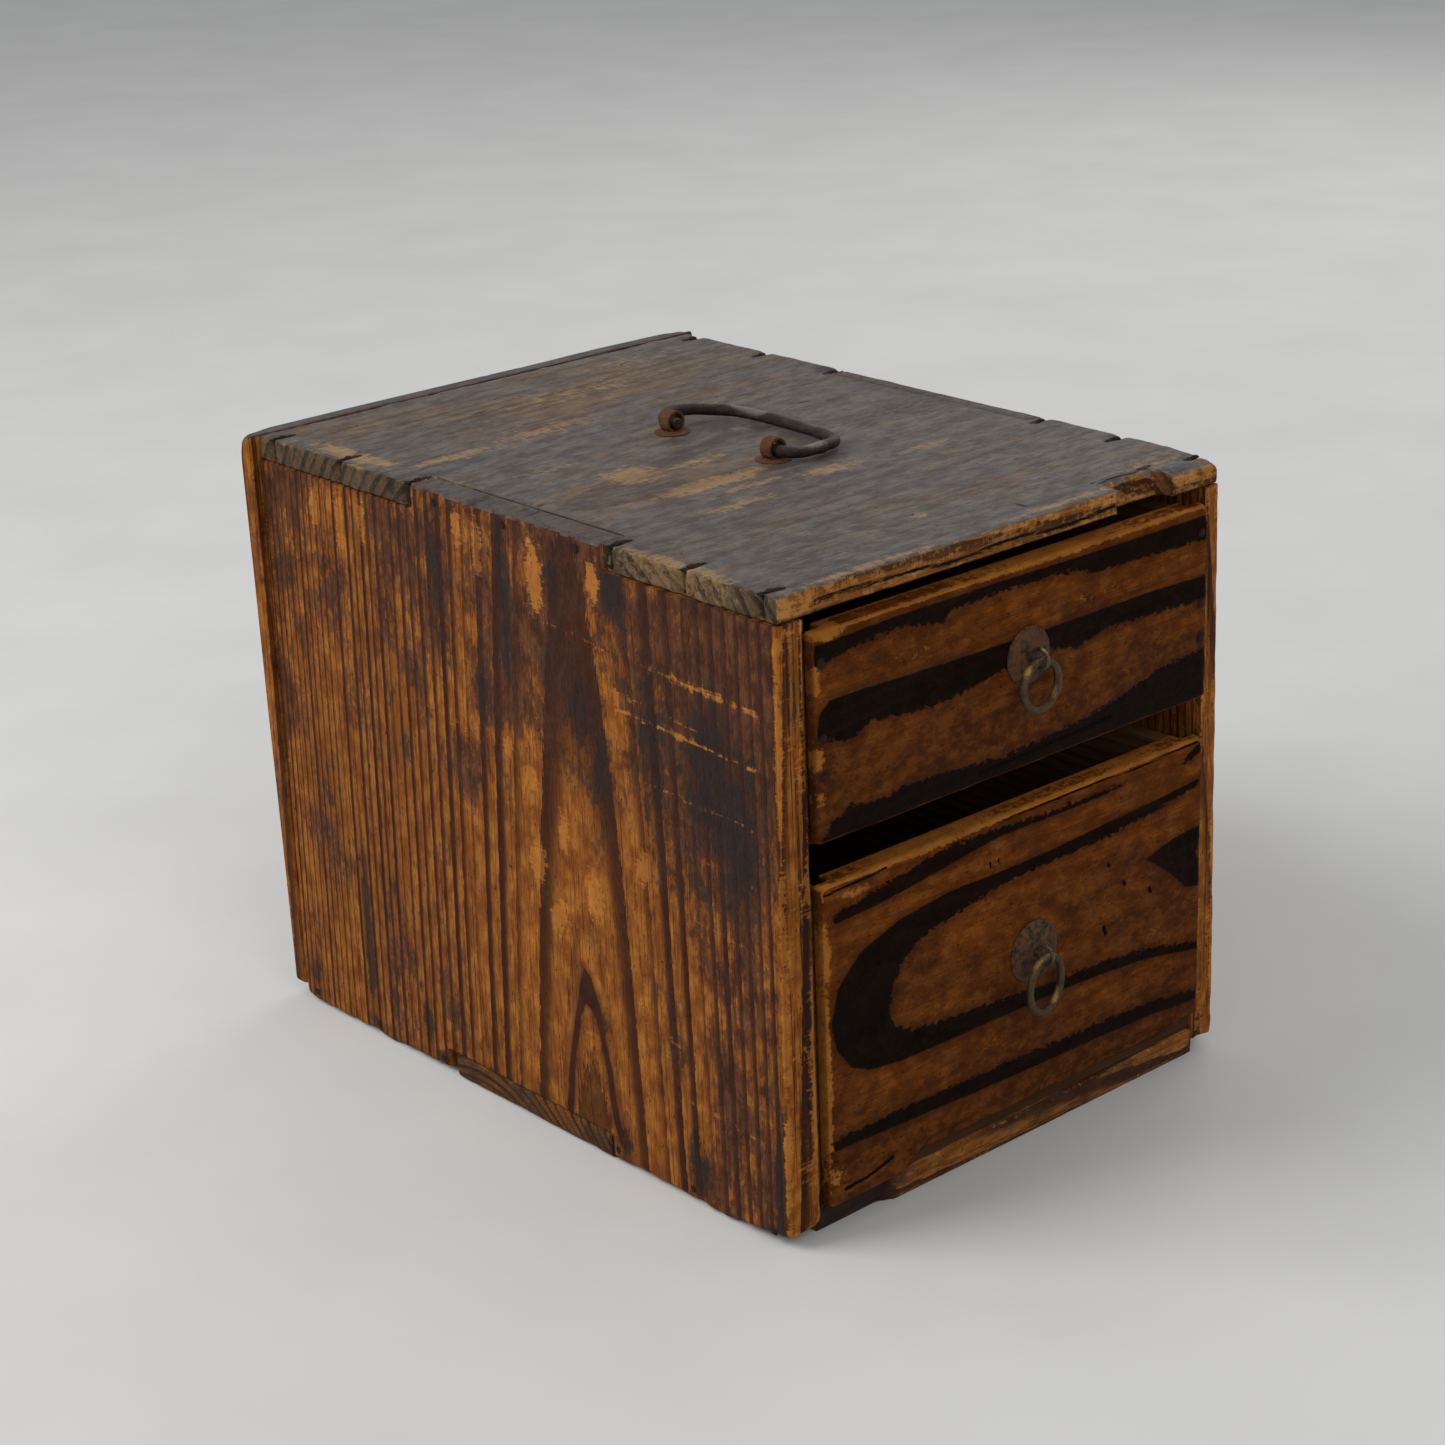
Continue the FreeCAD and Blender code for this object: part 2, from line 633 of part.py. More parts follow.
def drawer(name, floor_level, ceiling, side_gap, pull_side, ring_yaw):
    """One drawer, shut. Its parts are named after it."""
    left = inner_left + side_gap
    width = inner_width - side_gap * 2
    face = front - size("front_proud")
    behind = face + size("front_thick")
    run = floor_level + size("run_gap")
    front_low = run + size("front_lift")
    front_high = ceiling - size("headroom")
    front_tall = front_high - front_low
    front_middle = front_low + front_tall / 2
    wall_high = front_high - size("wall_drop")
    floor_top = run + size("floor_thick")
    wall_front = behind - size("end_rebate")
    box_rear = rear - size("rear_gap")
    wall = size("wall_thick")
    right = left + width

    # the front, rebated at its ends for the sides and below for the floor
    panel = board(f"{name}_front", (left, face, front_low), (width, size("front_thick"), front_tall))
    for end, near, far in (("left", as_dim(0), wall), ("right", width - wall, width)):
        rebate = outline(panel, f"{name}_{end}_rebate_outline", "XY_Plane", rectangle(
            near, size("front_thick") - size("end_rebate"), far, size("front_thick")))
        pocket(panel, f"{name}_{end}_rebate", rebate)
    low_rebate = outline(panel, f"{name}_floor_rebate_outline", "YZ_Plane", rectangle(
        size("front_thick") - size("floor_rebate"), 0, size("front_thick"), floor_top - front_low))
    pocket(panel, f"{name}_floor_rebate", low_rebate)
    if name == "lower":
        worn = outline(panel, "lower_wear_outline", "XZ_Plane", [
            (size("wear_from"), 0),
            (width, 0),
            (width, size("wear_end_rise")),
            (width * 0.75, size("wear_rise")),
            (width * 0.4, size("wear_rise")),
            (size("wear_from") + size("wear_rise") * 0.8, size("wear_rise") * 0.75),
            (size("wear_from") + size("wear_rise") * 0.2, size("wear_rise") * 0.4),
        ])
        # worn back as far as the edge of the floor board
        pocket(panel, "lower_wear", worn, size("front_thick") - size("floor_rebate"))
    doc.recompute()
    # the worn arrises round the face
    arrises = []
    for i, edge in enumerate(panel.Shape.Edges, start=1):
        box = edge.BoundBox
        on_face = box.YMax < float(face) + 0.01
        upper = box.ZMin > float(front_high) - 0.01
        at_end = box.XMax < float(left) + 0.01 or box.XMin > float(right) - 0.01
        if on_face and (upper or (at_end and box.ZLength > float(front_tall) * 0.5)):
            arrises.append(f"Edge{i}")
    square_front = panel.Tip
    rounding = panel.newObject("PartDesign::Fillet", f"{name}_front_rounding")
    rounding.Base = (square_front, arrises)
    bind(rounding, "Radius", size("front_round"))

    # sides, back and floor
    wall_low = floor_top
    sides = {}
    for end, x in (("left", left), ("right", right - wall)):
        sides[end] = board(f"{name}_{end}_wall", (x, wall_front, wall_low),
                           (wall, box_rear - wall_front, wall_high - wall_low))
    rear_board = board(f"{name}_rear", (left + wall, box_rear - wall, wall_low),
                       (width - wall * 2, wall, wall_high - size("rear_drop") - wall_low))
    floor_front = behind - size("floor_rebate")
    floor_board = board(f"{name}_floor", (left, floor_front, run),
                        (width, box_rear - floor_front, size("floor_thick")))

    # nails
    brad = size("brad_length")
    wall_middles = (left + wall / 2, right - wall / 2)
    if name == "upper":
        front_nail_levels = (
            front_middle - size("front_nail_pair"), front_middle, front_high - size("front_nail_top"))
        front_rows = [((x, face, z), (0, 1, 0)) for x in wall_middles for z in front_nail_levels]
    else:
        front_rows = [
            ((x, behind - size("end_rebate") / 2, z), (way, 0, 0))
            for x, way in ((left, 1), (right, -1))
            for z in spread(wall_low + size("nail_inset") * 2, wall_high - size("nail_inset") * 2, 3)
        ]
    front_group = nails(f"{name}_front_nails", front_rows, brad)
    rear_group = nails(f"{name}_rear_nails", [
        ((x, box_rear - wall / 2, z), (way, 0, 0))
        for x, way in ((left, 1), (right, -1))
        for z in spread(wall_low + size("nail_inset"),
                        wall_high - size("rear_drop") - size("nail_inset"), 3)
    ], brad)
    floor_rows = [
        ((x, y, run), (0, 0, 1))
        for x in wall_middles
        for y in spread(wall_front + brad, box_rear - wall - brad, 4)
    ]
    floor_rows += [
        ((x, box_rear - wall / 2, run), (0, 0, 1))
        for x in spread(left + wall + brad * 2, right - wall - brad * 2, 2)
    ]
    floor_group = nails(f"{name}_floor_nails", floor_rows, brad)

    # ring pull: back plate, split pin and ring
    pull_x = inner_middle + pull_side
    pull_z = front_middle + size("pull_rise")
    plate_high = size("plate_thick") + size("plate_dome")
    back_plate(f"{name}_plate", size(f"{name}_plate_radius"), pull_x, face, pull_z)
    through = plate_high + size("front_thick")
    loop_y = face - plate_high - size("pin_loop_radius") - size("pin_wire_radius")
    outward = FreeCAD.Rotation(V(0, 0, -1), V(1, 0, 0), V(0, -1, 0), "ZXY")
    spot = V(float(pull_x), float(loop_y), float(pull_z))
    pin = feature_of(f"{name}_pin", split_pin("pin", wire_loop("pin"), through))
    pin.Placement = FreeCAD.Placement(spot, outward)
    shaft = feature_of(f"{name}_shaft", shaft_of("pin", through))
    shaft.Placement = FreeCAD.Placement(spot, outward)
    wire = size(f"{name}_ring_wire")
    slack = size("pin_loop_radius") - size("pin_wire_radius") - wire - size("seat_gap")
    ring = doc.addObject("Part::Torus", f"{name}_ring")
    ring.Label = f"{name}_ring"
    bind(ring, "Radius1", size(f"{name}_ring_radius"))
    bind(ring, "Radius2", wire)
    yaw = FreeCAD.Rotation(V(0, 0, 1), float(ring_yaw))
    ring.Placement.Rotation = yaw * FreeCAD.Rotation(V(1, 0, 0), 90)
    place(ring, pull_x, loop_y, pull_z - slack - size(f"{name}_ring_radius"))
    print(f"{name} ring: pivot {float(pull_x):.3f} {float(loop_y):.3f} {float(pull_z - slack):.3f}")

    # holes for the nails and the pin
    cut(f"{name}_front", panel, front_group, shaft)
    for end in ("left", "right"):
        cut(f"{name}_{end}_wall", sides[end], front_group, rear_group, floor_group)
    cut(f"{name}_rear", rear_board, rear_group, floor_group)
    cut(f"{name}_floor", floor_board, floor_group)


drawer("upper", shelf_over, under_top, size("upper_side_gap"),
       size("upper_pull_side"), as_dim(0))
drawer("lower", over_bottom, shelf_under, size("lower_side_gap"),
       size("lower_pull_side"), size("lower_ring_yaw"))

# Holes in the case boards for their nails and for the handle's eyes.
cut("left_side", left_side, top_nails, finger_nails, foot_nails, under_nails, back_nails)
cut("right_side", right_side, top_nails, finger_nails, foot_nails, under_nails, back_nails)
cut("top_board", top_board, top_nails, finger_nails, back_nails, *handle_eyes)
cut("bottom_board", bottom_board, foot_nails, under_nails, back_nails)
cut("back_panel", back_panel, back_nails)

# ---------------------------------------------------------------------------
# Check and write each sub-part
# ---------------------------------------------------------------------------
NODES = [
    "left_side", "right_side", "top_board", "bottom_board", "back_panel", "drawer_shelf",
    "top_nails", "finger_nails", "foot_nails", "under_nails", "back_nails",
    "handle_seat_front", "handle_seat_rear", "handle_eye_front", "handle_eye_rear",
    "bail_handle",
]
for drawer_name in ("upper", "lower"):
    NODES += [f"{drawer_name}_{part}" for part in (
        "front", "left_wall", "right_wall", "rear", "floor",
        "front_nails", "rear_nails", "floor_nails", "plate", "pin", "ring")]

doc.recompute()
faults = [o.Label for o in doc.Objects if "Invalid" in o.State or "Error" in o.State]
if faults:
    raise RuntimeError("failed to recompute: " + ", ".join(faults))
os.makedirs("parts", exist_ok=True)
for node in NODES:
    found = doc.getObjectsByLabel(node)
    if len(found) != 1:
        raise RuntimeError(f"{node}: {len(found)} objects carry this label")
    shape = found[0].Shape
    if shape.isNull() or not shape.isValid() or not shape.Solids:
        raise RuntimeError(f"{node}: no valid solid")
    shape.exportStep(f"parts/{node}.step")
    box = shape.BoundBox
    print(f"{node:20s} solids {len(shape.Solids):3d} volume {shape.Volume:11.1f}"
          f"  x {box.XMin:8.2f} {box.XMax:8.2f}  y {box.YMin:8.2f} {box.YMax:8.2f}"
          f"  z {box.ZMin:8.2f} {box.ZMax:8.2f}")
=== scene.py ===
# %% [markdown]
# # A small two-drawer tansu chest
# This is a nailed softwood box about as big as a shoe box, with two drawers and an iron bail
# handle. A hundred years of soot, hands and scrubbing are most of what the eye sees, so this
# lesson is about old wood: how its grain follows the log it was cut from, how a stain wears
# off in patches, and how edges round over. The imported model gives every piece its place; each
# visible piece is then remade on that place with a worn surface.

import itertools
import math

import bmesh
import bpy
import numpy as np
from mathutils import Matrix, Vector


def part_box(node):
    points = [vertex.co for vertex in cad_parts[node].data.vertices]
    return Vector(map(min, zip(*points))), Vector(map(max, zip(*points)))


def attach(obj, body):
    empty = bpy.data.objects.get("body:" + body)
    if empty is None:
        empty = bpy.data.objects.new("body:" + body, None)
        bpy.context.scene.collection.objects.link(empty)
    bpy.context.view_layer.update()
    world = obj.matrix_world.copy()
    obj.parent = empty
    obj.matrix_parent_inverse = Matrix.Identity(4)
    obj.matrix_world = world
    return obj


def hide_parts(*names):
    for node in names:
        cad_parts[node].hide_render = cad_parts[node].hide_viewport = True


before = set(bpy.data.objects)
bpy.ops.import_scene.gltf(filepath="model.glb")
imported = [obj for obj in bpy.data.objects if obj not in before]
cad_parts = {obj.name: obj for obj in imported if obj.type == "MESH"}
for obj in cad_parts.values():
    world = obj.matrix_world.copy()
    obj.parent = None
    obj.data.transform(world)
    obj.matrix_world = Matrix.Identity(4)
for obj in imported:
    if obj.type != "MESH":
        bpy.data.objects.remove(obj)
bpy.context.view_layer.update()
MM = 0.001


def extent(node):
    """Lowest and highest corner of a node, in millimetres."""
    low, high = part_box(node)
    return np.array(low) / MM, np.array(high) / MM


def put(name, data):
    """Puts a mesh, a lamp or a camera into the scene as a new object."""
    holder = bpy.data.objects.new(name, data)
    bpy.context.scene.collection.objects.link(holder)
    return holder


# %% [markdown]
# ## The camera
# The view is from the front left and a little above, through a long lens, so the chest's edges
# converge only slightly. The camera is turned with three plain angles: the way it looks, how
# far it looks down, and a small roll. A shift moves the view on the sensor without turning the
# camera, which keeps the chest in the right and lower part of the square frame.

# %% Camera
VIEW_FROM = Vector((-687.9, -804.1, 518.4)) * MM
VIEW_TURN = math.radians(42.31)      # from +Y towards +X
VIEW_DOWN = math.radians(23.28)
VIEW_ROLL = math.radians(-1.77)

ahead = Vector((math.sin(VIEW_TURN) * math.cos(VIEW_DOWN),
                math.cos(VIEW_TURN) * math.cos(VIEW_DOWN), -math.sin(VIEW_DOWN)))
level = Vector((math.cos(VIEW_TURN), -math.sin(VIEW_TURN), 0))
above = level.cross(ahead)
right = level * math.cos(VIEW_ROLL) + above * math.sin(VIEW_ROLL)
up = above * math.cos(VIEW_ROLL) - level * math.sin(VIEW_ROLL)

lens = bpy.data.cameras.new("view")
lens.sensor_width = 36
lens.lens = 75.98
lens.shift_x = -0.0684
lens.shift_y = 0.0970
camera = put("view", lens)
camera.matrix_world = Matrix.Translation(VIEW_FROM) @ Matrix((right, up, -ahead)).transposed().to_4x4()
bpy.context.scene.camera = camera
print("camera", round(VIEW_FROM.length, 3), "m from the middle of the chest's foot")

# %% [markdown]
# ## Colours and nodes
# Colours are written as the hex codes that a paint program shows and turned into the linear
# numbers that Blender renders with. One function adds any node: it sets the node's own
# settings, then fills or links its sockets. A list fills the sockets in their order, a
# dictionary by their names, and a node stands for its own first output.


# %% Colour and node helpers
def paint(code):
    """A hex colour as linear red, green, blue and alpha."""
    parts = [int(code[i:i + 2], 16) / 255 for i in (1, 3, 5)]
    return [v / 12.92 if v <= 0.04045 else ((v + 0.055) / 1.055) ** 2.4 for v in parts] + [1.0]


def fill(socket, value):
    """Links a socket to a node's first output, or sets it to a number, a vector or a hex colour."""
    if isinstance(value, bpy.types.Node):
        value = next(s for s in value.outputs if s.enabled)
    if isinstance(value, bpy.types.NodeSocket):
        socket.id_data.links.new(value, socket)
    else:
        socket.default_value = paint(value) if socket.type == "RGBA" else value


def add(tree, kind, sockets=(), stops=None, **settings):
    """Adds a node. The kind is Blender's own name for it; ShaderNode may be left off."""
    node = tree.nodes.new(kind if "Node" in kind else "ShaderNode" + kind)
    for name, value in settings.items():
        setattr(node, name, value)
    if stops:
        elements = node.color_ramp.elements
        while len(elements) < len(stops):
            elements.new(1.0)
        for element, (place, shade) in zip(elements, stops):
            element.position = place
            element.color = paint(shade) if isinstance(shade, str) else (shade, shade, shade, 1)
    if isinstance(sockets, dict):
        for key, value in sockets.items():
            fill(next(s for s in node.inputs if s.name == key and s.enabled), value)
    else:
        for socket, value in zip(node.inputs, sockets):
            fill(socket, value)
    return node


def new_material(name):
    """An empty node material: its tree, and its shader already joined to the output."""
    material = bpy.data.materials.new(name)
    material.use_nodes = True
    tree = material.node_tree
    tree.nodes.clear()
    shader = add(tree, "BsdfPrincipled")
    add(tree, "OutputMaterial", {"Surface": shader})
    return material, tree, shader


def join(shader, **sockets):
    """Fills the shader's sockets; an underscore stands for a space."""
    for key, value in sockets.items():
        fill(shader.inputs[key.replace("_", " ")], value)


# %% [markdown]
# ## Floor and light
# The chest stands on a plain pale floor. Soft light comes mostly from the left and from behind,
# as from a tall window, so the top is the brightest face, the left side follows, and the
# drawer fronts are in gentle half shade. The world is a dim even white that fills the shadows.

# %% Floor, lamps and world
def plain_floor():
    """A wide pale floor with a faint speckle, under the chest."""
    material, tree, shader = new_material("pale_plaster_floor")
    spot = add(tree, "TexCoord").outputs["Object"]
    speckle = add(tree, "TexNoise", {"Vector": spot, "Scale": 9.0, "Detail": 3.0})
    shade = add(tree, "ValToRGB", {"Fac": speckle}, stops=[(0.3, "#C9C8C5"), (0.7, "#CFCECB")])
    join(shader, Base_Color=shade, Roughness=0.85)
    side = 6.0
    mesh = bpy.data.meshes.new("floor")
    mesh.from_pydata([(-side, -side, 0), (side, -side, 0), (side, side, 0), (-side, side, 0)],
                     [], [(0, 1, 2, 3)])
    mesh.materials.append(material)
    put("floor", mesh)


LAMPS_AIM = Vector((0, 0, 0.12))     # about the chest's middle, metres


def lamp(name, place, size, power):
    """A square soft lamp that looks at the chest."""
    light = bpy.data.lights.new(name, "AREA")
    light.size = size
    light.energy = power
    holder = put(name, light)
    holder.location = place
    holder.rotation_euler = (LAMPS_AIM - Vector(place)).to_track_quat("-Z", "Y").to_euler()


plain_floor()
lamp("window", (-1.5, 0.9, 1.6), 1.3, 36)
lamp("room", (-0.5, -2.0, 1.5), 1.6, 16)
lamp("far_side", (1.8, 0.6, 1.3), 1.4, 10)

world = bpy.data.worlds.new("soft_room")
bpy.context.scene.world = world
world.use_nodes = True
background = world.node_tree.nodes["Background"].inputs
background["Color"].default_value = paint("#E6E8EC")
background["Strength"].default_value = 0.55
bpy.context.scene.view_settings.view_transform = "Standard"
print("three lamps and a dim white world")

# %% [markdown]
# ## Boards with an even skin
# A board could be a box with bevelled edges, but wear isn't even: an edge that was knocked often
# is rounder, and a nail leaves a small hollow. So each board is first put together from plain
# prisms, then the Remesh modifier gives the whole solid one even skin of small squares. After
# that every point can be moved by a rule, and can carry numbers, such as how bare the wood is
# there. Materials read those numbers as attributes.


# %% Prisms into an even skin
def prism(bm, outline, axis, near, far):
    """Adds a closed prism. The outline's points are in the two other axes, in order."""
    def place(point, depth):
        values = list(point)
        values.insert(axis, depth)
        return bm.verts.new([v * MM for v in values])

    low = [place(p, near) for p in outline]
    high = [place(p, far) for p in outline]
    count = len(outline)
    bm.faces.new(low)
    bm.faces.new(high)
    for i in range(count):
        j = (i + 1) % count
        bm.faces.new((low[i], low[j], high[j], high[i]))


def block(bm, low, high):
    """Adds a box between two corners."""
    prism(bm, [(low[0], low[1]), (high[0], low[1]), (high[0], high[1]), (low[0], high[1])],
          2, low[2], high[2])


def keep_result(piece):
    """Turns what the piece's modifier makes into its plain mesh."""
    shown = piece.evaluated_get(bpy.context.evaluated_depsgraph_get())
    made = bpy.data.meshes.new_from_object(shown)
    piece.modifiers.clear()
    piece.data = made


def even_skin(name, bm, step):
    """The bmesh's solids as one closed mesh of squares about step millimetres wide."""
    bmesh.ops.recalc_face_normals(bm, faces=bm.faces)
    rough = bpy.data.meshes.new(name + "_prisms")
    bm.to_mesh(rough)
    bm.free()
    piece = put(name, rough)
    remesh = piece.modifiers.new("skin", "REMESH")
    remesh.mode = "VOXEL"
    remesh.voxel_size = step * MM
    keep_result(piece)
    piece.data.name = name
    bpy.data.meshes.remove(rough)
    piece.data.shade_smooth()
    return piece


def triples(items, name):
    """One vector of every point or square of a mesh, as rows of three numbers."""
    values = np.empty(len(items) * 3, dtype=np.float32)
    items.foreach_get(name, values)
    return values.reshape(-1, 3)


def points_of(piece):
    """The mesh's points in millimetres, and the way its surface faces at each."""
    places = triples(piece.data.vertices, "co").astype(float) / MM
    return places, triples(piece.data.vertex_normals, "vector").astype(float)


def move_points(piece, places):
    piece.data.vertices.foreach_set("co", (places * MM).astype(np.float32).ravel())
    piece.data.update()


def remember(piece, **numbers):
    """Stores one number per point for the material to read."""
    for name, values in numbers.items():
        layer = piece.data.attributes.new(name, "FLOAT", "POINT")
        layer.data.foreach_set("value", np.asarray(values, dtype=np.float32))


# %% [markdown]
# ## Soft random hills
# Wear needs randomness that is smooth and is the same on every run. This is the classic recipe:
# a random height at each crossing of a grid, worked out from the crossing's own numbers, and a
# smooth blend between crossings. Stretching the grid along the grain gives long streaks.


# %% Hills
def grid_height(crossing, seed):
    """A fixed random number between 0 and 1 for each grid crossing."""
    mixed = crossing[:, 0] * 73856093 ^ crossing[:, 1] * 19349663 ^ crossing[:, 2] * 83492791
    mixed = (mixed ^ seed * 2654435761) & 0xFFFFFFFF
    mixed = ((mixed ^ (mixed >> 13)) * 1274126177) & 0xFFFFFFFF
    return ((mixed ^ (mixed >> 16)) & 0xFFFF) / 65535.0


def hills(places, size, seed):
    """Smooth random hills between -1 and 1, as wide as size (one number or three), in mm."""
    spot = places / np.broadcast_to(np.asarray(size, dtype=float), (3,))
    corner = np.floor(spot).astype(np.int64)
    part = spot - corner
    part = part * part * (3 - 2 * part)
    total = np.zeros(len(places))
    for step in itertools.product((0, 1), repeat=3):
        share = np.prod(np.where(step, part, 1 - part), axis=1)
        total += share * grid_height(corner + np.array(step), seed)
    return total * 2 - 1


def ramp_up(values, start, end):
    """0 below start, 1 above end, smooth between."""
    t = np.clip((values - start) / (end - start), 0, 1)
    return t * t * (3 - 2 * t)


def bell(distance, width):
    """1 where the distance is 0, fading to about a third one width away."""
    return np.exp(-(distance / width) ** 2)


def spot_mask(places, axes, middle, reach):
    """1 at the middle, fading to about a fifth one reach away, measured along two axes."""
    offset = (places[:, axes] - middle) / reach
    return np.exp(-(offset ** 2).sum(axis=1) * 1.5)


def marks(places, axes, spots):
    """The strongest of many spots at each point; a spot is a middle, a reach and a strength."""
    strongest = np.zeros(len(places))
    for *place, strength in spots:
        strongest = np.maximum(strongest, strength * spot_mask(places, axes, place[:2], place[2:]))
    return strongest


# %% [markdown]
# ## Drawn marks
# Bands of scorched wood, cracks and stains are drawn as outlines and paths on a flat face. Each
# point of the mesh stores how far it lies inside an outline or from a path, and the material
# tears that soft edge with fine noise.


# %% Distances to outlines and paths
FAR_AWAY = 1e9


def path_distance(x, z, corners):
    """Distance in the plane of a face to an open path, in mm."""
    best = np.full(len(x), FAR_AWAY)
    for (ax, az), (bx, bz) in zip(corners, corners[1:]):
        run_x, run_z = bx - ax, bz - az
        t = np.clip(((x - ax) * run_x + (z - az) * run_z) / (run_x ** 2 + run_z ** 2), 0, 1)
        best = np.minimum(best, np.hypot(x - ax - t * run_x, z - az - t * run_z))
    return best


def outline_distance(x, z, corners):
    """Signed distance in the plane of a face: positive inside the closed outline, in mm."""
    closed = corners + corners[:1]
    inside = np.zeros(len(x), dtype=bool)
    for (ax, az), (bx, bz) in zip(closed, closed[1:]):
        if az != bz:
            crosses = (az > z) != (bz > z)
            inside ^= crosses & (x < ax + (z - az) * (bx - ax) / (bz - az))
    distance = path_distance(x, z, closed)
    return np.where(inside, distance, -distance)


# %% [markdown]
# ## Worn edges
# A rounded box is easy to state: shrink the box by the radius, find the nearest point of the
# shrunk box, and keep every surface point within one radius of it. Points on flat faces already
# are; points near an edge are pulled in onto a quarter round. Letting the radius wander from
# place to place turns a machine-made bevel into wear.


# %% Round the edges of a box
def ease_edges(places, low, high, radius):
    """Pulls points near a box's edges onto a round of the given radius, one radius per point."""
    middle = (low + high) / 2
    half = (high - low) / 2
    offset = places - middle
    core = half - radius[:, None]
    beyond = np.maximum(np.abs(offset) - core, 0)
    length = np.linalg.norm(beyond, axis=1)
    at_edge = (beyond > 0).sum(axis=1) > 1
    share = np.where(at_edge & (length > radius), radius / np.maximum(length, radius), 1)
    inside = np.minimum(np.abs(offset), core)
    return middle + np.sign(offset) * (inside + beyond * share[:, None])


def edge_nearness(places, low, high, reach):
    """1 on a box's edges, fading to 0 at reach millimetres from them."""
    gaps = np.sort(np.minimum(places - low, high - places), axis=1)
    return 1 - ramp_up(gaps[:, 1], 0, reach)


# %% [markdown]
# ## Growth rings
# A board is a slice of a log, and its grain is where the slice cuts the log's rings. The rings
# are tubes round the pith, so a point's ring number is its distance from the pith divided by
# the ring's width. The pith runs along the board but comes slowly nearer or farther: that
# slight tilt is what draws the pointed arch on a flat-sawn face, fine lines far from it, and
# curved lines on the end grain, all at once and all matching round the corners.


# %% Ring numbers
def ring_numbers(places, along, pith, tilt, width, first, wander, seed, tighter=0.0):
    """Growth-ring number at each point of a board whose grain runs along one axis.

    pith gives the pith's place in the other two axes where along is zero, tilt how far it moves
    in them per millimetre, width one ring's width, first the radius of ring number zero, wander
    how far the rings stray, in rings, and tighter how fast they narrow outside that one.
    """
    others = [axis for axis in range(3) if axis != along]
    offset = [places[:, axis] - (pith[i] + tilt[i] * places[:, along])
              for i, axis in enumerate(others)]
    radius = np.hypot(*offset)
    size = np.full(3, 34.0)
    size[along] = 120.0
    count = (radius - first) / width
    return count + tighter * np.maximum(count, 0) ** 2 + wander * hills(places, size, seed)


# %% [markdown]
# ## Flecks and coats
# A film of dirt could be a blurred mask, but it wears in flecks as fine as the wood's fibres.
# So a soft mask, read from the points, is added to a noise pattern and cut again, which tears
# its edge. The noise is stretched along the grain, its size given in millimetres. Coats are
# then laid over the wood one after another, as they came to lie on it.


# %% Noise, torn masks and coats
RELIEF = 0.5 * MM                # how far the bumps of wood and metal seem to rise


def streaks(tree, along, across, lengthwise, detail, rough):
    """Noise whose grains are so many millimetres across and lengthwise."""
    scale = [1000 / across] * 3
    scale[along] = 1000 / lengthwise
    spot = add(tree, "TexCoord").outputs["Object"]
    stretched = add(tree, "Mapping", {"Vector": spot, "Scale": scale})
    return add(tree, "TexNoise", {
        "Vector": stretched, "Scale": 1.0, "Detail": detail, "Roughness": rough})


def ragged(tree, mask, pattern, strength, low=0.42, high=0.58):
    """A soft mask with its edge broken up by a pattern."""
    raised = add(tree, "Math", [pattern, strength, mask], operation="MULTIPLY_ADD")
    return add(tree, "MapRange", {
        "Value": raised, "From Min": low + strength / 2, "From Max": high + strength / 2},
        interpolation_type="SMOOTHSTEP")


def coats(tree, ground, layers):
    """Lays coats over a ground colour: each is a colour, where it lies, and how thick it is."""
    for above, mask, thickness in layers:
        share = add(tree, "Math", [mask, thickness], operation="MULTIPLY")
        ground = add(tree, "Mix", {"Factor": share, "A": ground, "B": above}, data_type="RGBA")
    return ground


# %% [markdown]
# ## Late wood and scorched bands
# Late wood is a dark line that ends each ring, with a faint one inside it; no two years are
# equally broad or dark, so each ring's whole number is the seed of its own random share. A
# scorched band is near-black inside its outline and singed brown round it, and its edge is
# torn into tongues that are short on the crisp side and long on the frayed one.


# %% Late wood and scorched bands
SCORCH_EDGE = 10.0               # the number stored where a scorched band ends


def late_wood(tree, ring_number, fibre, vein, lines):
    """Where the dark late wood lies, and where fine veins run through the early wood."""
    ring = add(tree, "Math", [fibre, 0.22, ring_number], operation="MULTIPLY_ADD")
    phase = add(tree, "Math", [ring], operation="FRACT")
    year = add(tree, "Math", [ring], operation="FLOOR")
    season = add(tree, "TexWhiteNoise", {"W": year}, noise_dimensions="1D")
    breadth = add(tree, "MapRange", {"Value": season.outputs["Value"], "To Min": -0.11, "To Max": 0.14})
    shifted = add(tree, "Math", [phase, breadth], operation="ADD")
    line = add(tree, "ValToRGB", {"Fac": shifted}, stops=[
        (0.0, 0.05), (0.26, 0.0), (0.31, 0.35), (0.35, 0.02), (0.62, 0.10), (0.78, 0.75),
        (0.90, 1.0), (1.0, 1.0)])
    depth = add(tree, "MapRange", {
        "Value": season.outputs["Value"], "To Min": 0.45 * lines, "To Max": lines})
    dark_ring = add(tree, "Math", [line, depth], operation="MULTIPLY")
    veined = add(tree, "MapRange", {
        "Value": vein, "From Min": 0.56, "From Max": 0.66, "To Max": 0.35 + 0.5 * lines})
    return dark_ring, veined


def scorched(tree, scorch, fray, torn):
    """Where wood is singed, and where it is charred. scorch grows by one per millimetre inward."""
    reach = add(tree, "MapRange", {"Value": fray, "To Min": 1.2, "To Max": 7.5})
    tongue = add(tree, "Math", [torn, 0.5], operation="SUBTRACT")
    burnt_in = add(tree, "Math", [tongue, reach, scorch], operation="MULTIPLY_ADD")
    return [add(tree, "MapRange", {
        "Value": burnt_in, "From Min": SCORCH_EDGE - outer, "From Max": SCORCH_EDGE + inner},
        interpolation_type="SMOOTHSTEP") for outer, inner in ((4.0, 0.5), (0.35, 0.35))]


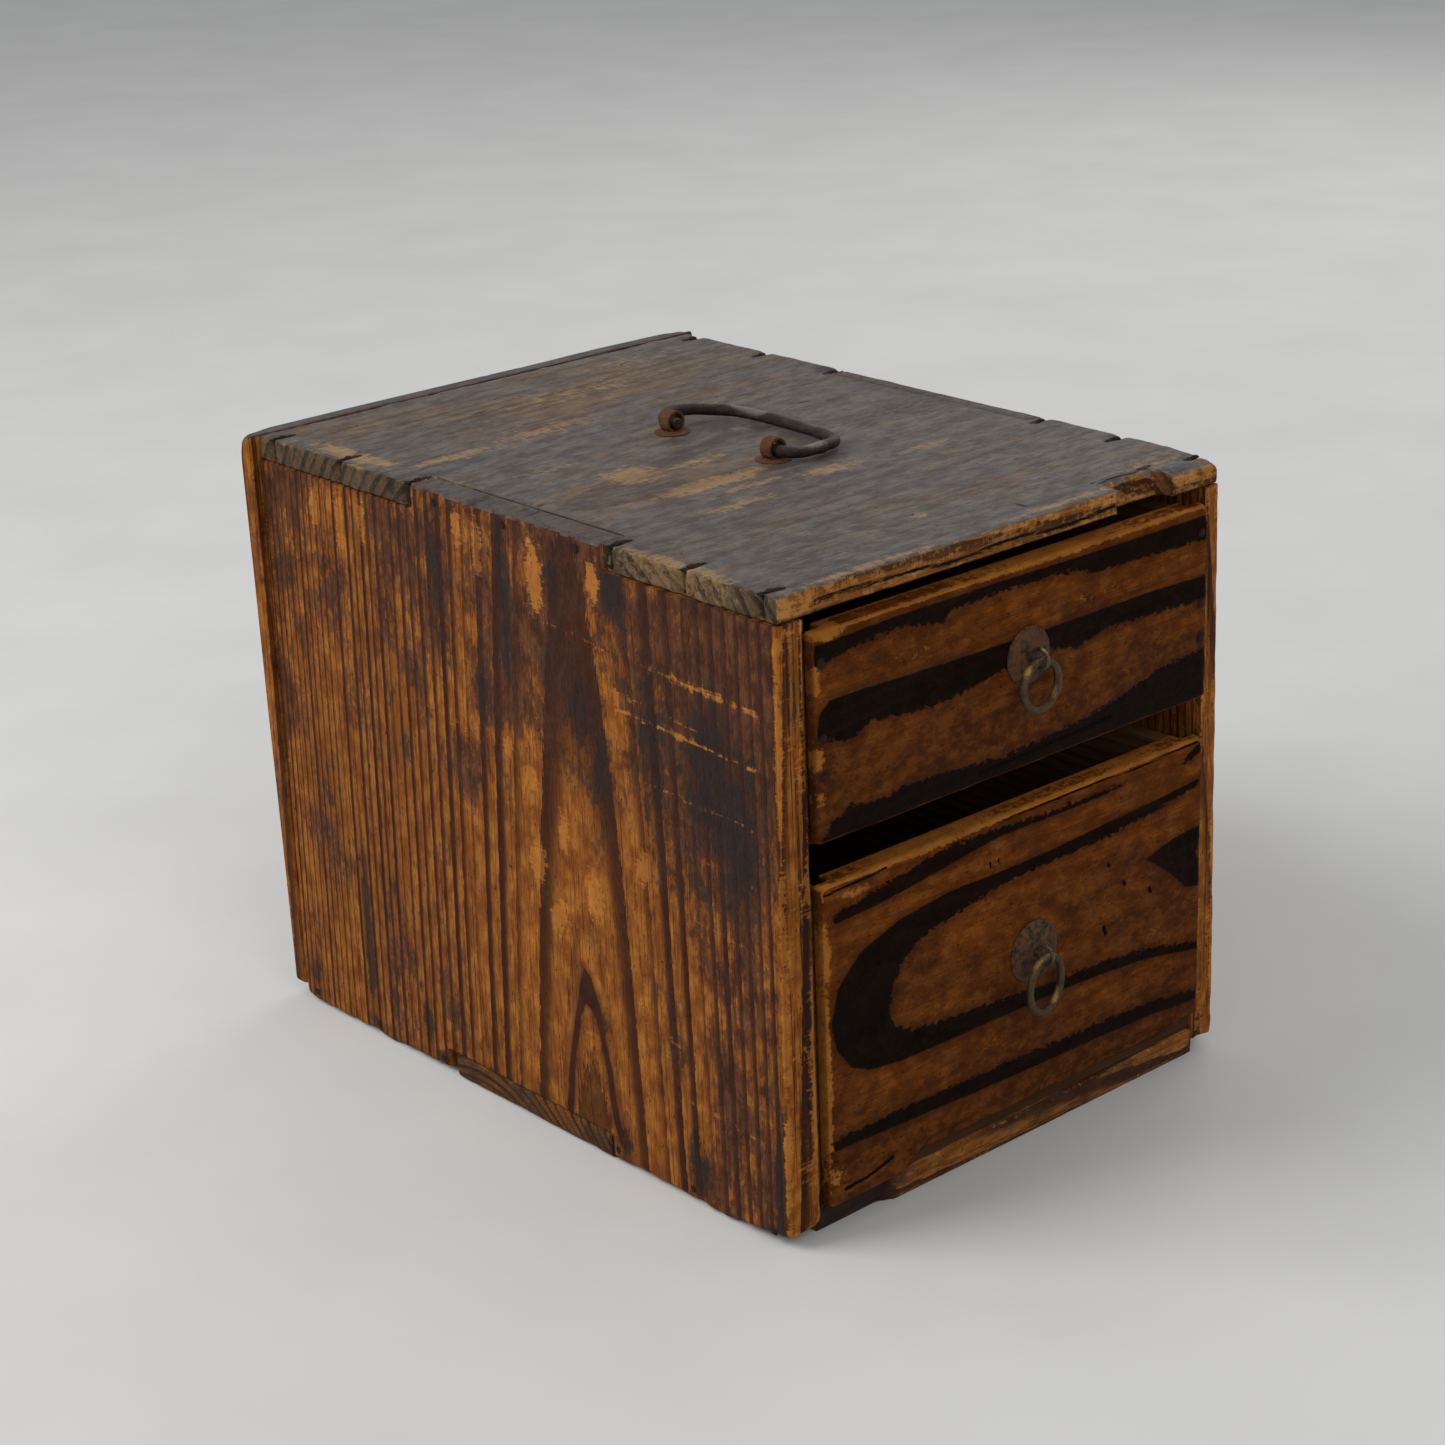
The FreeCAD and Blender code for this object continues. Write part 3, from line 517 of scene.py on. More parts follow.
# %% [markdown]
# ## Old cedar
# The boards are Japanese cedar: soft pale early wood, and hard thin dark late wood that ends
# each ring sharply. Over it lies a brown film of soot, oil and handling, which has worn through
# in patches stretched along the grain; in places soot has bitten in, blue-black. Edges are
# bare. One recipe reads the numbers stored on the points; each finish only changes its colours
# and how much of each coat is left.


# %% The wood material
WORN = ("ring", "film", "rub", "soot", "scorch", "fray", "end", "crack")


def old_cedar(name, along, early, late, film, bare, gloss=0.55, lines=1.0, scraped=0.5, stringy=1.0,
              fibrous=0.4, wear=0.9, fade=0.17, char=("#070403", "#140C07"), glossy=0.12):
    """Weathered cedar whose grain runs along the given axis (0, 1 or 2).

    lines is how much the late wood shows, scraped how much is worn off across the grain, stringy
    how long the flecks are, fibrous how much single fibres show in the soft wood, wear how clean
    a rubbed place is, fade how softly it ends, char the colours of a scorched band, and glossy
    how much of the sky the surface mirrors.
    """
    material, tree, shader = new_material(name)
    worn = {key: add(tree, "Attribute", attribute_name=key).outputs["Fac"] for key in WORN}
    # real grains: fibres 0.7 mm wide, pores 0.3 mm, flakes of film 2 mm, smears 6 mm
    fibre = streaks(tree, along, 0.7, 16 * stringy, 4.0, 0.6)
    pore = streaks(tree, along, 0.28, 3.0, 2.0, 0.5)
    flake = streaks(tree, along, 2.2, 2.2 + 4.8 * stringy, 6.0, 0.68)
    smear = streaks(tree, along, 6.0, 6.0 + 9.0 * stringy, 5.0, 0.62)
    cloud = streaks(tree, along, 16, 12 + 60 * stringy, 4.0, 0.6)
    torn = streaks(tree, along, 1.7, 2.6, 6.0, 0.66)
    speck = streaks(tree, along, 1.1, 2.0, 2.0, 0.5)
    vein = streaks(tree, along, 0.55, 38, 3.0, 0.6)
    scrape = streaks(tree, along, 7.0, 0.9, 4.0, 0.6)
    soft = add(tree, "Mix", {"Factor": fibrous, "A": smear, "B": fibre})

    dark_ring, veined = late_wood(tree, worn["ring"], fibre, vein, lines)

    # masks: the film clings to late wood, and thins in clouds; on the drawer fronts this film share also
    # holds painted shade, growing towards their lower edge
    clinging = add(tree, "Math", [dark_ring, 0.10, worn["film"]], operation="MULTIPLY_ADD")
    clouded = add(tree, "Math", [cloud, 0.9, clinging], operation="MULTIPLY_ADD")
    filmed = ragged(tree, clouded, flake, 1.3, 0.86, 1.08)
    chafed = add(tree, "Math", [scrape, scraped, worn["rub"]], operation="MULTIPLY_ADD")
    rubbed = ragged(tree, chafed, flake, 1.1, 0.45 + scraped / 2, 0.45 + scraped / 2 + fade)
    # on the bottom board's set-back left end this soot share is painted shade for its recess
    sooted = ragged(tree, worn["soot"], smear, 2.2, 0.26, 0.70)
    cracked = ragged(tree, worn["crack"], pore, 0.5)
    dotted = add(tree, "MapRange", {"Value": speck, "From Min": 0.67, "From Max": 0.73})
    end_grain = add(tree, "Math", [worn["end"], pore], operation="MULTIPLY")

    singed, charred = scorched(tree, worn["scorch"], worn["fray"], torn)
    ground = add(tree, "ValToRGB", {"Fac": soft}, stops=[
        (0.38, early[0]), (0.50, early[1]), (0.62, early[2])])
    both = add(tree, "Math", [flake, smear], operation="ADD")
    mottle = add(tree, "MapRange", {"Value": both, "From Min": 0.82, "From Max": 1.18})
    coat = add(tree, "ValToRGB", {"Fac": mottle}, stops=[
        (0.1, film[0]), (0.5, film[1]), (0.9, film[2])])
    fresh = add(tree, "ValToRGB", {"Fac": soft}, stops=[(0.3, bare[0]), (0.7, bare[1])])
    burnt = add(tree, "ValToRGB", {"Fac": smear}, stops=[(0.3, char[0]), (0.8, char[1])])

    colour = coats(tree, ground, (
        (early[0], cloud, 0.6),
        (late, dark_ring, 1.0),
        (late, veined, 0.8),
        (coat, filmed, 0.84),
        (late, dark_ring, 0.45),
        (film[0], veined, 0.5),
        ("#15181A", sooted, 0.82),
        (film[0], singed, 0.55),
        (fresh, rubbed, wear),
        (burnt, charred, 0.96),
        (late, dark_ring, 0.55),
        (film[0], end_grain, 0.9),
        ("#20150E", dotted, 0.7),
        ("#0E0A08", cracked, 1.0)))

    relief = pore
    for pattern, height in ((dark_ring, 0.7), (fibre, 0.6), (flake, 0.9), (dotted, -0.7), (cracked, -1.6)):
        relief = add(tree, "Math", [pattern, height, relief], operation="MULTIPLY_ADD")
    bump = add(tree, "Bump", {"Height": relief, "Strength": 0.9, "Distance": RELIEF})
    shine = add(tree, "MapRange", {"Value": filmed, "To Min": gloss + 0.22, "To Max": gloss})
    join(shader, Base_Color=colour, Roughness=shine, Normal=bump, Specular_IOR_Level=glossy)
    return material


# %% [markdown]
# ## Five finishes of one wood
# The sides kept their warm brown film, the top was greyed by light and water, the ends and the
# bottom board are bare and dirty, and the drawer fronts were scorched and scrubbed.

# %% Five finishes
side_cedar = old_cedar(
    "old_cedar_sides", 2, early=("#78400F", "#98591F", "#BE7B32"), late="#341507",
    film=("#251109", "#432314", "#5C351C"), bare=("#9A5A1E", "#C07C34"),
    scraped=0.8, stringy=0.35, fibrous=0.3, char=("#2A120A", "#46210F"))
top_cedar = old_cedar(
    "weathered_cedar_top", 0, early=("#5A493B", "#705D4C", "#84705A"), late="#3A312B",
    film=("#413E3C", "#534E4B", "#645E59"), bare=("#7E6545", "#A58458"), gloss=0.42,
    lines=0.3, scraped=0.9, stringy=0.7, fibrous=0.25, wear=0.85, fade=0.3)
edge_cedar = old_cedar(
    "worn_cedar_edges", 0, early=("#6E3F14", "#935A25", "#B07838"), late="#3A1C0C",
    film=("#2C1C11", "#42301F", "#58412C"), bare=("#9C632B", "#BD874A"), stringy=0.5)
end_cedar = old_cedar(
    "grey_cedar_ends", 0, early=("#66503A", "#866B4C", "#A6865E"), late="#33281E",
    film=("#2F261E", "#524435", "#6E5D49"), bare=("#94734B", "#B8935F"), stringy=0.4)
front_cedar = old_cedar(
    "scorched_cedar_fronts", 0, early=("#55290A", "#6E390F", "#8A501C"), late="#3A1C0A",
    film=("#3A1C07", "#4F290C", "#643613"), bare=("#824D1B", "#AE6F2C"), lines=0.2, stringy=0.25,
    fibrous=0.25, char=("#060302", "#120904"), glossy=0.04)
print("five finishes of the same wood")

# %% [markdown]
# ## Where the nails are
# Nail heads have rusted into the wood: each leaves a stain and sits in a small hollow. So the
# packed nails are read before any board is made. A group holds many nails in one mesh, and each
# nail is found by walking from point to point along its edges. The distance to the nearest head
# is then at hand for every board.

# %% Nail heads
TOP_FINGER = (-61.0, 42.5)       # the side board's finger, along the depth, mm
FOOT_FINGER = (-53.0, 43.5)      # the bottom board's finger
FOOT_FLARE = 3.5                 # how much thicker a side board is at its foot
INNER_LEFT, INNER_RIGHT = -92.5, 96.0  # the inner faces of the side boards
SAME_POINT = 1e-6                # metres between points that are one

top_low, top_high = extent("top_board")
bottom_low, bottom_high = extent("bottom_board")
UNDER_TOP = top_low[2]
OVER_BOTTOM = bottom_high[2]


def merged(node):
    """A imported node's mesh with its loose triangles joined into one skin."""
    bm = bmesh.new()
    bm.from_mesh(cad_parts[node].data)
    bmesh.ops.remove_doubles(bm, verts=bm.verts, dist=SAME_POINT)
    return bm


def nail_heads(node):
    """The middles of a group's nail heads, the ways the nails point, and their length, in mm.

    The nails are taken in the order of the mesh's own points, so that every run is the same.
    """
    bm = merged(node)
    found = set()
    nails = []
    for start in bm.verts:
        if start in found:
            continue
        group = {start}
        newest = {start}
        while newest:
            newest = {edge.other_vert(v) for v in newest for edge in v.link_edges} - group
            group |= newest
        found |= group
        points = np.array([v.co for v in group]) / MM
        low, high = points.min(axis=0), points.max(axis=0)
        middle, axis = (low + high) / 2, int(np.argmax(high - low))
        spread = np.linalg.norm(np.delete(points - middle, axis, axis=1), axis=1)
        at_low = spread[points[:, axis] < low[axis] + 0.5].max()
        at_high = spread[points[:, axis] > high[axis] - 0.5].max()
        way = np.zeros(3)
        way[axis] = 1 if at_low > at_high else -1
        head = middle.copy()
        head[axis] = low[axis] if at_low > at_high else high[axis]
        nails.append((head, way, (high - low)[axis]))
    bm.free()
    heads, ways, lengths = zip(*nails)
    return np.array(heads), np.array(ways), lengths[0]


NAIL_GROUPS = [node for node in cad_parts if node.endswith("nails")]
nails_of = {node: nail_heads(node) for node in NAIL_GROUPS}
print("nails:", {node: len(nails_of[node][0]) for node in NAIL_GROUPS})


def nail_distance(places, *groups):
    """Distance from each point to the nearest nail head of these groups, in mm."""
    best = np.full(len(places), FAR_AWAY)
    for group in groups:
        for head in nails_of[group][0]:
            best = np.minimum(best, np.linalg.norm(places - head, axis=1))
    return best


# %% [markdown]
# ## Several finishes on one board
# Wood looks different on each face of a board: weathered on top, worn and dark on its ends. A
# mesh can hold several materials, and every square knows the number of its own. Squares are
# chosen here by where they are and which way they face. A finished piece then takes the place
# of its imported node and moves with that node's body.

# %% Finishes by square, and handing a piece over
def squares_of(piece):
    """The middle of each square in millimetres, and the way it faces."""
    return triples(piece.data.polygons, "center") / MM, triples(piece.data.polygons, "normal")


def finish_squares(piece, finish, chosen):
    """Puts one more finish on the chosen squares of a piece."""
    squares = piece.data.polygons
    piece.data.materials.append(finish)
    index = np.empty(len(squares), dtype=np.int32)
    squares.foreach_get("material_index", index)
    index[chosen] = len(piece.data.materials) - 1
    squares.foreach_set("material_index", index)
    piece.data.update()


def hand_over(piece, node, body):
    """Puts a finished piece in its node's place, on the body that carries it."""
    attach(piece, body)
    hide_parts(node)
    print(piece.name, len(piece.data.polygons), "faces on", body)


def finish_case_board(piece, node, finish):
    """One finish all over a board of the case, and weathered wood on what faces up at the top."""
    piece.data.materials.append(finish)
    middles, ways = squares_of(piece)
    finish_squares(piece, top_cedar, (ways[:, 2] > 0.5) & (middles[:, 2] > UNDER_TOP + 6))
    hand_over(piece, node, "case")


# %% [markdown]
# ## The two side boards
# Each side is one flat-sawn board standing on its end, so its grain is upright and its rings
# make a pointed arch low on the outer face. It is thicker at the foot than at the top. A
# finger of it rises through the top board, and a notch in its foot takes the bottom board.
# Four blocks make that shape, and the skin over them is rounded, dented and thickened.


# %% The shape of a side board
def side_board(node, outer, inner, pith, tilt, first, seed):
    """A worn side board between its outer and inner faces (mm, at the top)."""
    out = math.copysign(1, outer)
    low, high = extent(node)
    near, far = sorted((outer, inner))
    overlap = 20
    bm = bmesh.new()
    block(bm, (near, low[1], OVER_BOTTOM), (far, high[1], UNDER_TOP))
    block(bm, (near, TOP_FINGER[0], UNDER_TOP - overlap), (far, TOP_FINGER[1], high[2]))
    block(bm, (near, low[1], low[2]), (far, FOOT_FINGER[0], OVER_BOTTOM + overlap))
    block(bm, (near, FOOT_FINGER[1], low[2]), (far, high[1], OVER_BOTTOM + overlap))
    piece = even_skin(node + "_worn", bm, 1.25)
    places, facing = points_of(piece)
    rings = ring_numbers(places, 2, pith, tilt, 5.7, first, 0.10, seed, tighter=0.02)

    # wear, worst at the front edge and the feet
    box_low = np.array([near, low[1], low[2]])
    box_high = np.array([far, high[1], high[2]])
    knocks = hills(places, 9, seed) + 0.6 * hills(places, 3.5, seed + 1)
    foot = ramp_up(-places[:, 2], -22, 0)
    radius = 1.3 + 0.5 * knocks + 1.6 * foot * (0.6 + 0.5 * knocks)
    beside_top = (places[:, 2] > UNDER_TOP - 4) & (np.abs(places[:, 0] - inner) < 4)
    radius = np.where(beside_top, 0.3, radius + 1.0 * ramp_up(places[:, 2], UNDER_TOP + 3, UNDER_TOP + 8))
    edge = edge_nearness(places, box_low, box_high + [0, 0, 9], 3.0)
    places = ease_edges(places, box_low, box_high, np.clip(radius, 0.3, 5))
    shrunk = 0.12 * (1 + hills(places, (40, 30, 60), seed + 2)) * ~beside_top
    places -= facing * shrunk[:, None]
    nail = nail_distance(places, "foot_nails", "finger_nails")
    places -= facing * (0.5 * bell(nail, 2.6))[:, None]

    # the lower end is ragged, and most worn away at the front corner
    lowest = ramp_up(-places[:, 2], -9, -1)
    gone = 3.0 * ramp_up(-places[:, 1], 112, 143) + 0.9 * (1 + hills(places, (5, 5, 40), seed + 3))
    places[:, 2] += lowest * gone

    # thicker towards the foot
    rise = np.clip((UNDER_TOP - places[:, 2]) / (UNDER_TOP - OVER_BOTTOM), 0, 1)
    outward = (places[:, 0] - inner) / (outer - inner)
    places[:, 0] += out * FOOT_FLARE * rise * np.clip(outward, 0, 1)
    move_points(piece, places)
    outside = ramp_up(facing[:, 0] * out, 0.2, 0.7)
    inside = ramp_up(-facing[:, 0] * out, 0.2, 0.7)
    remember(piece, ring=rings, end=ramp_up(np.abs(facing[:, 2]), 0.4, 0.8))
    return piece, places, edge, outside, inside


# %% [markdown]
# ### Film, scuffs and soot on the sides
# The dirt isn't even: it is thickest high up and at the front edge, hands scuffed it in long
# slanting strokes, flakes have come off, and rust runs from the nails. General wear comes from
# the hills; what stands out is given as spots and lines with a place and a strength.


# %% Wear of a side board
def slanted(y, from_y, to_y, from_z, to_z):
    """A straight line's height at each place along the depth, and how far that is from its ends."""
    height = from_z + (to_z - from_z) * (y - from_y) / (to_y - from_y)
    return height, abs(to_y - from_y) / 2 - np.abs(y - (from_y + to_y) / 2)


def dress_side(piece, places, edge, outside, inside, soot_spots, scuffs, cracks, flaked=(), arch=None):
    """Stores how film, rubbing, soot and cracks lie on a side board."""
    y, z = places[:, 1], places[:, 2]
    high_up = ramp_up(z, 85, 190)
    rear = ramp_up(y, -10, 60)
    front = ramp_up(-y, 72, 112)
    film = 0.20 + 0.42 * high_up * (1 - 0.5 * rear) + 0.13 * rear + 0.38 * front
    film += 0.20 * hills(places, (40, 17, 40), 71) + 0.20 * hills(places, (20, 9, 13), 72)
    film = film * outside + 0.15 * (1 - outside - inside)
    nail = nail_distance(places, "foot_nails", "finger_nails")
    soot = np.maximum(marks(places, [1, 2], soot_spots) * outside, 0.75 * bell(nail, 3.2))
    crown = ramp_up(z, UNDER_TOP + 2, UNDER_TOP + 8.5)
    film = np.maximum(film, crown * (0.50 + 0.2 * hills(places, (12, 9, 9), 74)))
    soot = np.maximum(soot, crown * (0.12 + 0.55 * hills(places, (9, 9, 9), 73)))
    rub = 0.12 + edge * (0.36 + 0.3 * hills(places, 13, 30)) + 0.16 * hills(places, (30, 14, 14), 31)
    for *ends, width, strength in scuffs:
        height, from_end = slanted(y, *ends)
        rub += strength * ramp_up(from_end, 0, 8) * bell(z - height, width) * outside
    if flaked:
        rub = np.maximum(rub, marks(places, [1, 2], flaked) * outside)
    crack = 0.9 * np.exp(-(nail / 1.5) ** 4)
    for ends in cracks:
        height, from_end = slanted(y, *ends)
        split = bell(z - (height + 0.8 * hills(places, 7, 55)), 0.7)
        crack = np.maximum(crack, 0.75 * (from_end > 0) * outside * split)
    strip = ramp_up(-y, 142, 144.4) * ramp_up(z, -2, 2)
    rub += strip * (0.22 + 0.2 * hills(places, (4, 4, 18), 33))
    for line_x, width in ((94.6, 0.35), (96.2, 0.3), (97.4, 0.5), (99.6, 0.25)):
        wavy = np.abs(places[:, 0]) - line_x - 0.6 * hills(places, (40, 40, 34), int(line_x))
        soot = np.maximum(soot, 0.95 * strip * bell(wavy, width))
    stained = np.zeros(len(places))
    if arch:
        depth = outline_distance(y + 0.8 * hills(places, 9, 57), z, arch)
        stained = (depth + SCORCH_EDGE) * outside
    remember(piece, film=film * (1 - 0.7 * strip), rub=np.clip(rub, 0, 1) * (1 - inside),
             soot=soot, crack=crack, scorch=stained)


# %% [markdown]
# ### The marks of the two sides
# The left side carries the marks that catch the eye. The right side gets a few of the same
# kind. Inside the arch, one ring is darker than the rest and is drawn as an outline.

# %% Two side boards
SIDE_SOOT = [  # along the depth, height, the two reaches, strength
    (-47, 166, 13, 34, 0.72), (-56, 142, 10, 26, 0.72), (-83, 160, 11, 40, 0.8),
    (-112, 160, 17, 38, 0.95), (-126, 144, 14, 40, 0.9), (-104, 128, 10, 26, 0.6),
    (-30, 178, 7, 22, 0.5), (-68, 186, 8, 26, 0.55),
    (31, 200, 6, 42, 0.8), (-8, 198, 5, 46, 0.85), (-34, 210, 6, 20, 0.7),
    (-66, 212, 9, 18, 0.95), (7, 160, 8, 18, 0.6), (90, 38, 4.2, 60, 0.9),
    (72, 60, 14, 44, 0.42), (110, 90, 16, 60, 0.4), (60, 130, 12, 40, 0.42),
    (54, 16, 6, 18, 0.75), (128, 15, 6, 16, 0.7), (-100, 14, 8, 20, 0.75),
    (-142, 20, 4.5, 50, 0.95), (-61, 8, 5, 14, 0.85), (15, 8, 12, 6, 0.6)]
SIDE_SCUFFS = [  # from and to along the depth, from and to height, half width, strength
    (-22, -70, 194, 190, 1.6, 0.38), (-74, -142, 190, 187, 2.2, 0.46),
    (-60, -140, 172, 168, 1.4, 0.42), (-70, -140, 150, 147, 1.2, 0.38),
    (-40, -110, 180, 174, 1.4, 0.34), (-75, -138, 132, 127, 1.2, 0.34), (-90, -140, 108, 104, 1.2, 0.3),
    (-60, -100, 62, 57, 1.5, 0.3), (-5, -60, 50, 44, 2.0, 0.25), (40, 0, 95, 80, 3, 0.25),
    (-80, -140, 40, 36, 1.4, 0.3), (60, 10, 150, 140, 2.5, 0.25)]
SIDE_CRACKS = [(-92, -96, 196, 188)]  # from and to along the depth, from and to height
SIDE_FLAKED = [  # where the film has come off: along the depth, height, the two reaches, strength
    (88, 204, 5, 20, 0.8), (74, 207, 4, 13, 0.8), (17, 217, 5, 12, 0.8), (6, 212, 5, 18, 0.8),
    (-25, 208, 8, 22, 0.8), (-56, 213, 6, 12, 0.8), (-6, 143, 5, 7, 0.8), (-17, 134, 8, 8, 0.8),
    (-19, 104, 8, 14, 0.8), (-34, 118, 5, 14, 0.8), (-50, 100, 8, 16, 0.8), (-76, 118, 5, 12, 0.8),
    (-30, 86, 9, 12, 0.8), (104, 206, 4, 12, 0.8), (-66, 176, 3, 9, 0.8)]
LEFT_ARCH = [  # the arch's darker ring: along the depth, height
    (-28, 8), (-31.5, 35), (-35, 50), (-38.5, 62), (-42, 71), (-45.5, 68), (-49.5, 58), (-52.5, 46),
    (-56, 30), (-59.5, 8), (-56.5, 8), (-52, 34), (-48.5, 48), (-45, 56), (-41.5, 57), (-38, 50),
    (-35, 36), (-31.5, 8)]
left_side = side_board("left_side", top_low[0], INNER_LEFT, (-41.0, -43.0), (0.031, 0.0), 65.2, 11)
dress_side(*left_side, SIDE_SOOT, SIDE_SCUFFS, SIDE_CRACKS, SIDE_FLAKED, LEFT_ARCH)
right_side = side_board("right_side", top_high[0], INNER_RIGHT, (46.0, 22.0), (-0.04, 0.02), 62.0, 47)
dress_side(*right_side, [
    (60, 150, 12, 30, 0.7), (20, 120, 8, 26, 0.6), (-70, 190, 9, 22, 0.8), (-30, 60, 5, 26, 0.5),
    (-9, 200, 3, 26, 0.8), (100, 30, 3, 30, 0.7)],
    [(-120, -40, 150, 146, 1.8, 0.35)], [(-80, -20, 96, 99)])
finish_case_board(left_side[0], "left_side", side_cedar)
finish_case_board(right_side[0], "right_side", side_cedar)

# %% [markdown]
# ## The top board
# The top has had the hardest life. Its face is grey and smooth, with tan streaks where hands
# and baskets rubbed it beside the handle; its ends show worn end grain with a notch at each
# rusted nail; and a piece has split out of its front edge. The notches and the break are moved
# in the mesh, because they change the outline.

# %% Top board
CHIP = (52.0, 80.0)              # along the front edge, mm
CHIP_DEPTH = 7.5
TOP_RUBS = [  # across, along the depth, the two reaches, strength
    (-46, -8, 20, 17, 0.85), (-34, -36, 40, 9, 0.95), (-44, -62, 34, 6, 0.75), (-20, -12, 24, 8, 0.7),
    (-26, -48, 34, 5, 0.7), (4, -54, 30, 8, 0.75), (48, -58, 22, 5, 0.75), (-13, -116, 8, 5, 0.75),
    (-96, 88, 9, 46, 0.85), (-72, 58, 38, 9, 0.7), (-96, 30, 14, 26, 0.65), (16, 96, 80, 22, 0.55),
    (-30, 62, 60, 14, 0.6), (60, 118, 50, 16, 0.55), (34, -141, 60, 4, 0.75), (-60, -142, 60, 4, 0.75),
    (-101, -96, 6, 60, 0.75), (80, -132, 30, 12, 0.6), (20, 10, 34, 8, 0.5), (-60, 20, 30, 7, 0.6)]
TOP_CHECKS = [  # small dark dents and splits, given as the rubbed places are
    (-90, -13, 2.5, 1.0, 1), (17, -133, 1.2, 4.0, 1), (-14, -113, 3.0, 0.8, 1),
    (-47, -120, 2.0, 0.8, 1), (36, -96, 3.0, 0.7, 1), (60, 20, 5.0, 0.7, 1), (-30, 100, 6.0, 0.7, 1)]
TOP_SOOT = [(-103, -35, 14, 70, 0.72), (103, 20, 16, 90, 0.5)]  # along both ends of the face


def top_board():
    low, high = top_low, top_high
    chip_back = low[1] + CHIP_DEPTH
    outline = [
        (low[0], low[1]), (CHIP[0], low[1]), (CHIP[0] + 1.5, chip_back), (CHIP[1] - 3, chip_back),
        (CHIP[1], low[1]), (high[0], low[1]), (high[0], TOP_FINGER[0]),
        (INNER_RIGHT, TOP_FINGER[0]), (INNER_RIGHT, TOP_FINGER[1]), (high[0], TOP_FINGER[1]),
        (high[0], high[1]), (low[0], high[1]), (low[0], TOP_FINGER[1]),
        (INNER_LEFT, TOP_FINGER[1]), (INNER_LEFT, TOP_FINGER[0]), (low[0], TOP_FINGER[0])]
    bm = bmesh.new()
    prism(bm, outline, 2, low[2], high[2])
    piece = even_skin("top_board_worn", bm, 1.2)
    places, facing = points_of(piece)
    x, y, z = places.T.copy()
    rings = ring_numbers(places, 0, (-18.0, 150.0), (0.05, 0.04), 5.2, 60.0, 0.16, 5)

    knocks = hills(places, (14, 9, 9), 21) + 0.7 * hills(places, 3.5, 22)
    upper = ramp_up(z, low[2] + 3, high[2])
    radius = 1.0 + upper * (0.9 + 0.7 * knocks) + 3.2 * upper * ramp_up(x, 66, 84) * ramp_up(-y, 120, 140)
    edge = edge_nearness(places, low, high, 3.2)
    places = ease_edges(places, low, high, np.clip(radius, 0.5, 5.5))

    # a notch in the end grain at every rusted nail, and ragged ends between them
    at_end = ramp_up(np.abs(facing[:, 0]), 0.3, 0.7) * (np.abs(x) > 98)
    notch = np.zeros(len(places))
    for head in nails_of["top_nails"][0]:
        beside = bell(y - head[1] - 0.8 * hills(places, 3, 23), 1.9)
        notch = np.maximum(notch, beside * ramp_up(-np.abs(x - head[0]), -9, -3.0))
    places[:, 0] -= np.sign(x) * at_end * (3.4 * notch + 0.5 * (1 + hills(places, (9, 2.6, 4), 24)))
    places[:, 2] -= 1.3 * notch * ramp_up(facing[:, 2], 0.3, 0.8)

    # the break slopes out towards the underside; a long shake runs along the front edge
    in_chip = (x > CHIP[0] - 2) * (x < CHIP[1] + 2) * (y < chip_back + 3) * (y > low[1] + 1.5)
    places[:, 1] += in_chip * (0.42 * (z - low[2]) - 1.6 + 1.1 * hills(places, (5, 5, 3), 25))
    shake_z = low[2] + 3.0 + 1.2 * hills(np.column_stack([x, x * 0, x * 0]), 26, 26)
    shake = bell(z - shake_z, 0.9) * (x > -88) * (x < CHIP[0]) * (facing[:, 1] < -0.5)
    places[:, 1] += 0.9 * shake
    at_finger = (np.abs(x) > 90) & (np.abs(x) < 104) & (np.abs(facing[:, 2]) < 0.9)
    at_finger &= (y > low[1] + 5) & (y < high[1] - 5)
    shrunk = 0.14 * (1 + hills(places, (70, 16, 30), 27)) * ~at_finger
    places -= facing * shrunk[:, None]
    move_points(piece, places)

    # film nearly everywhere on the face, with tan streaks where it is rubbed
    face = ramp_up(facing[:, 2], 0.45, 0.8)
    rub = edge * (0.46 + 0.3 * hills(places, 15, 29)) + 0.3 * in_chip
    rub = np.maximum(rub, marks(places, [0, 1], TOP_RUBS))
    front_face = ramp_up(-facing[:, 1], 0.4, 0.8)
    ends = ramp_up(np.abs(facing[:, 0]), 0.4, 0.8)
    rub = np.maximum(rub, 0.52 * front_face + 0.12 * hills(places, (20, 6, 4), 28))
    warm = spot_mask(places, [0, 1], (15, 95), (95, 50)) + spot_mask(places, [0, 1], (-40, -25), (60, 30))
    film = (0.62 - 0.20 * warm + 0.12 * hills(places, (60, 14, 40), 30)) * face
    film += 0.35 * front_face + 0.44 * ends
    crack = np.maximum(0.95 * notch * np.maximum(at_end, face), 0.8 * shake)
    crack = np.maximum(crack, face * marks(places, [0, 1], TOP_CHECKS))
    chip_edge = bell(y - chip_back - 0.5, 1.2) * (x > CHIP[0]) * (x < CHIP[1]) * face
    crack = np.maximum(crack, 0.7 * chip_edge)
    dark_end = 0.8 * bell(y + 56, 16) + 0.6 * bell(y - 50, 16)
    soot = ends * (0.16 + 0.5 * dark_end + 0.2 * hills(places, (9, 7, 7), 32)) + 0.5 * notch * ends
    soot = np.maximum(soot, face * marks(places, [0, 1], TOP_SOOT))
    remember(piece, ring=rings, end=ends, film=film, rub=np.clip(rub, 0, 1), crack=crack, soot=soot)
    return piece


piece = top_board()
piece.data.materials.append(edge_cedar)
middles, ways = squares_of(piece)
finish_squares(piece, top_cedar, (ways[:, 2] > 0.62) & (middles[:, 2] > top_high[2] - 2.2))
finish_squares(piece, end_cedar, (np.abs(ways[:, 0]) > 0.6) & (np.abs(middles[:, 0]) > 90))
hand_over(piece, "top_board", "case")

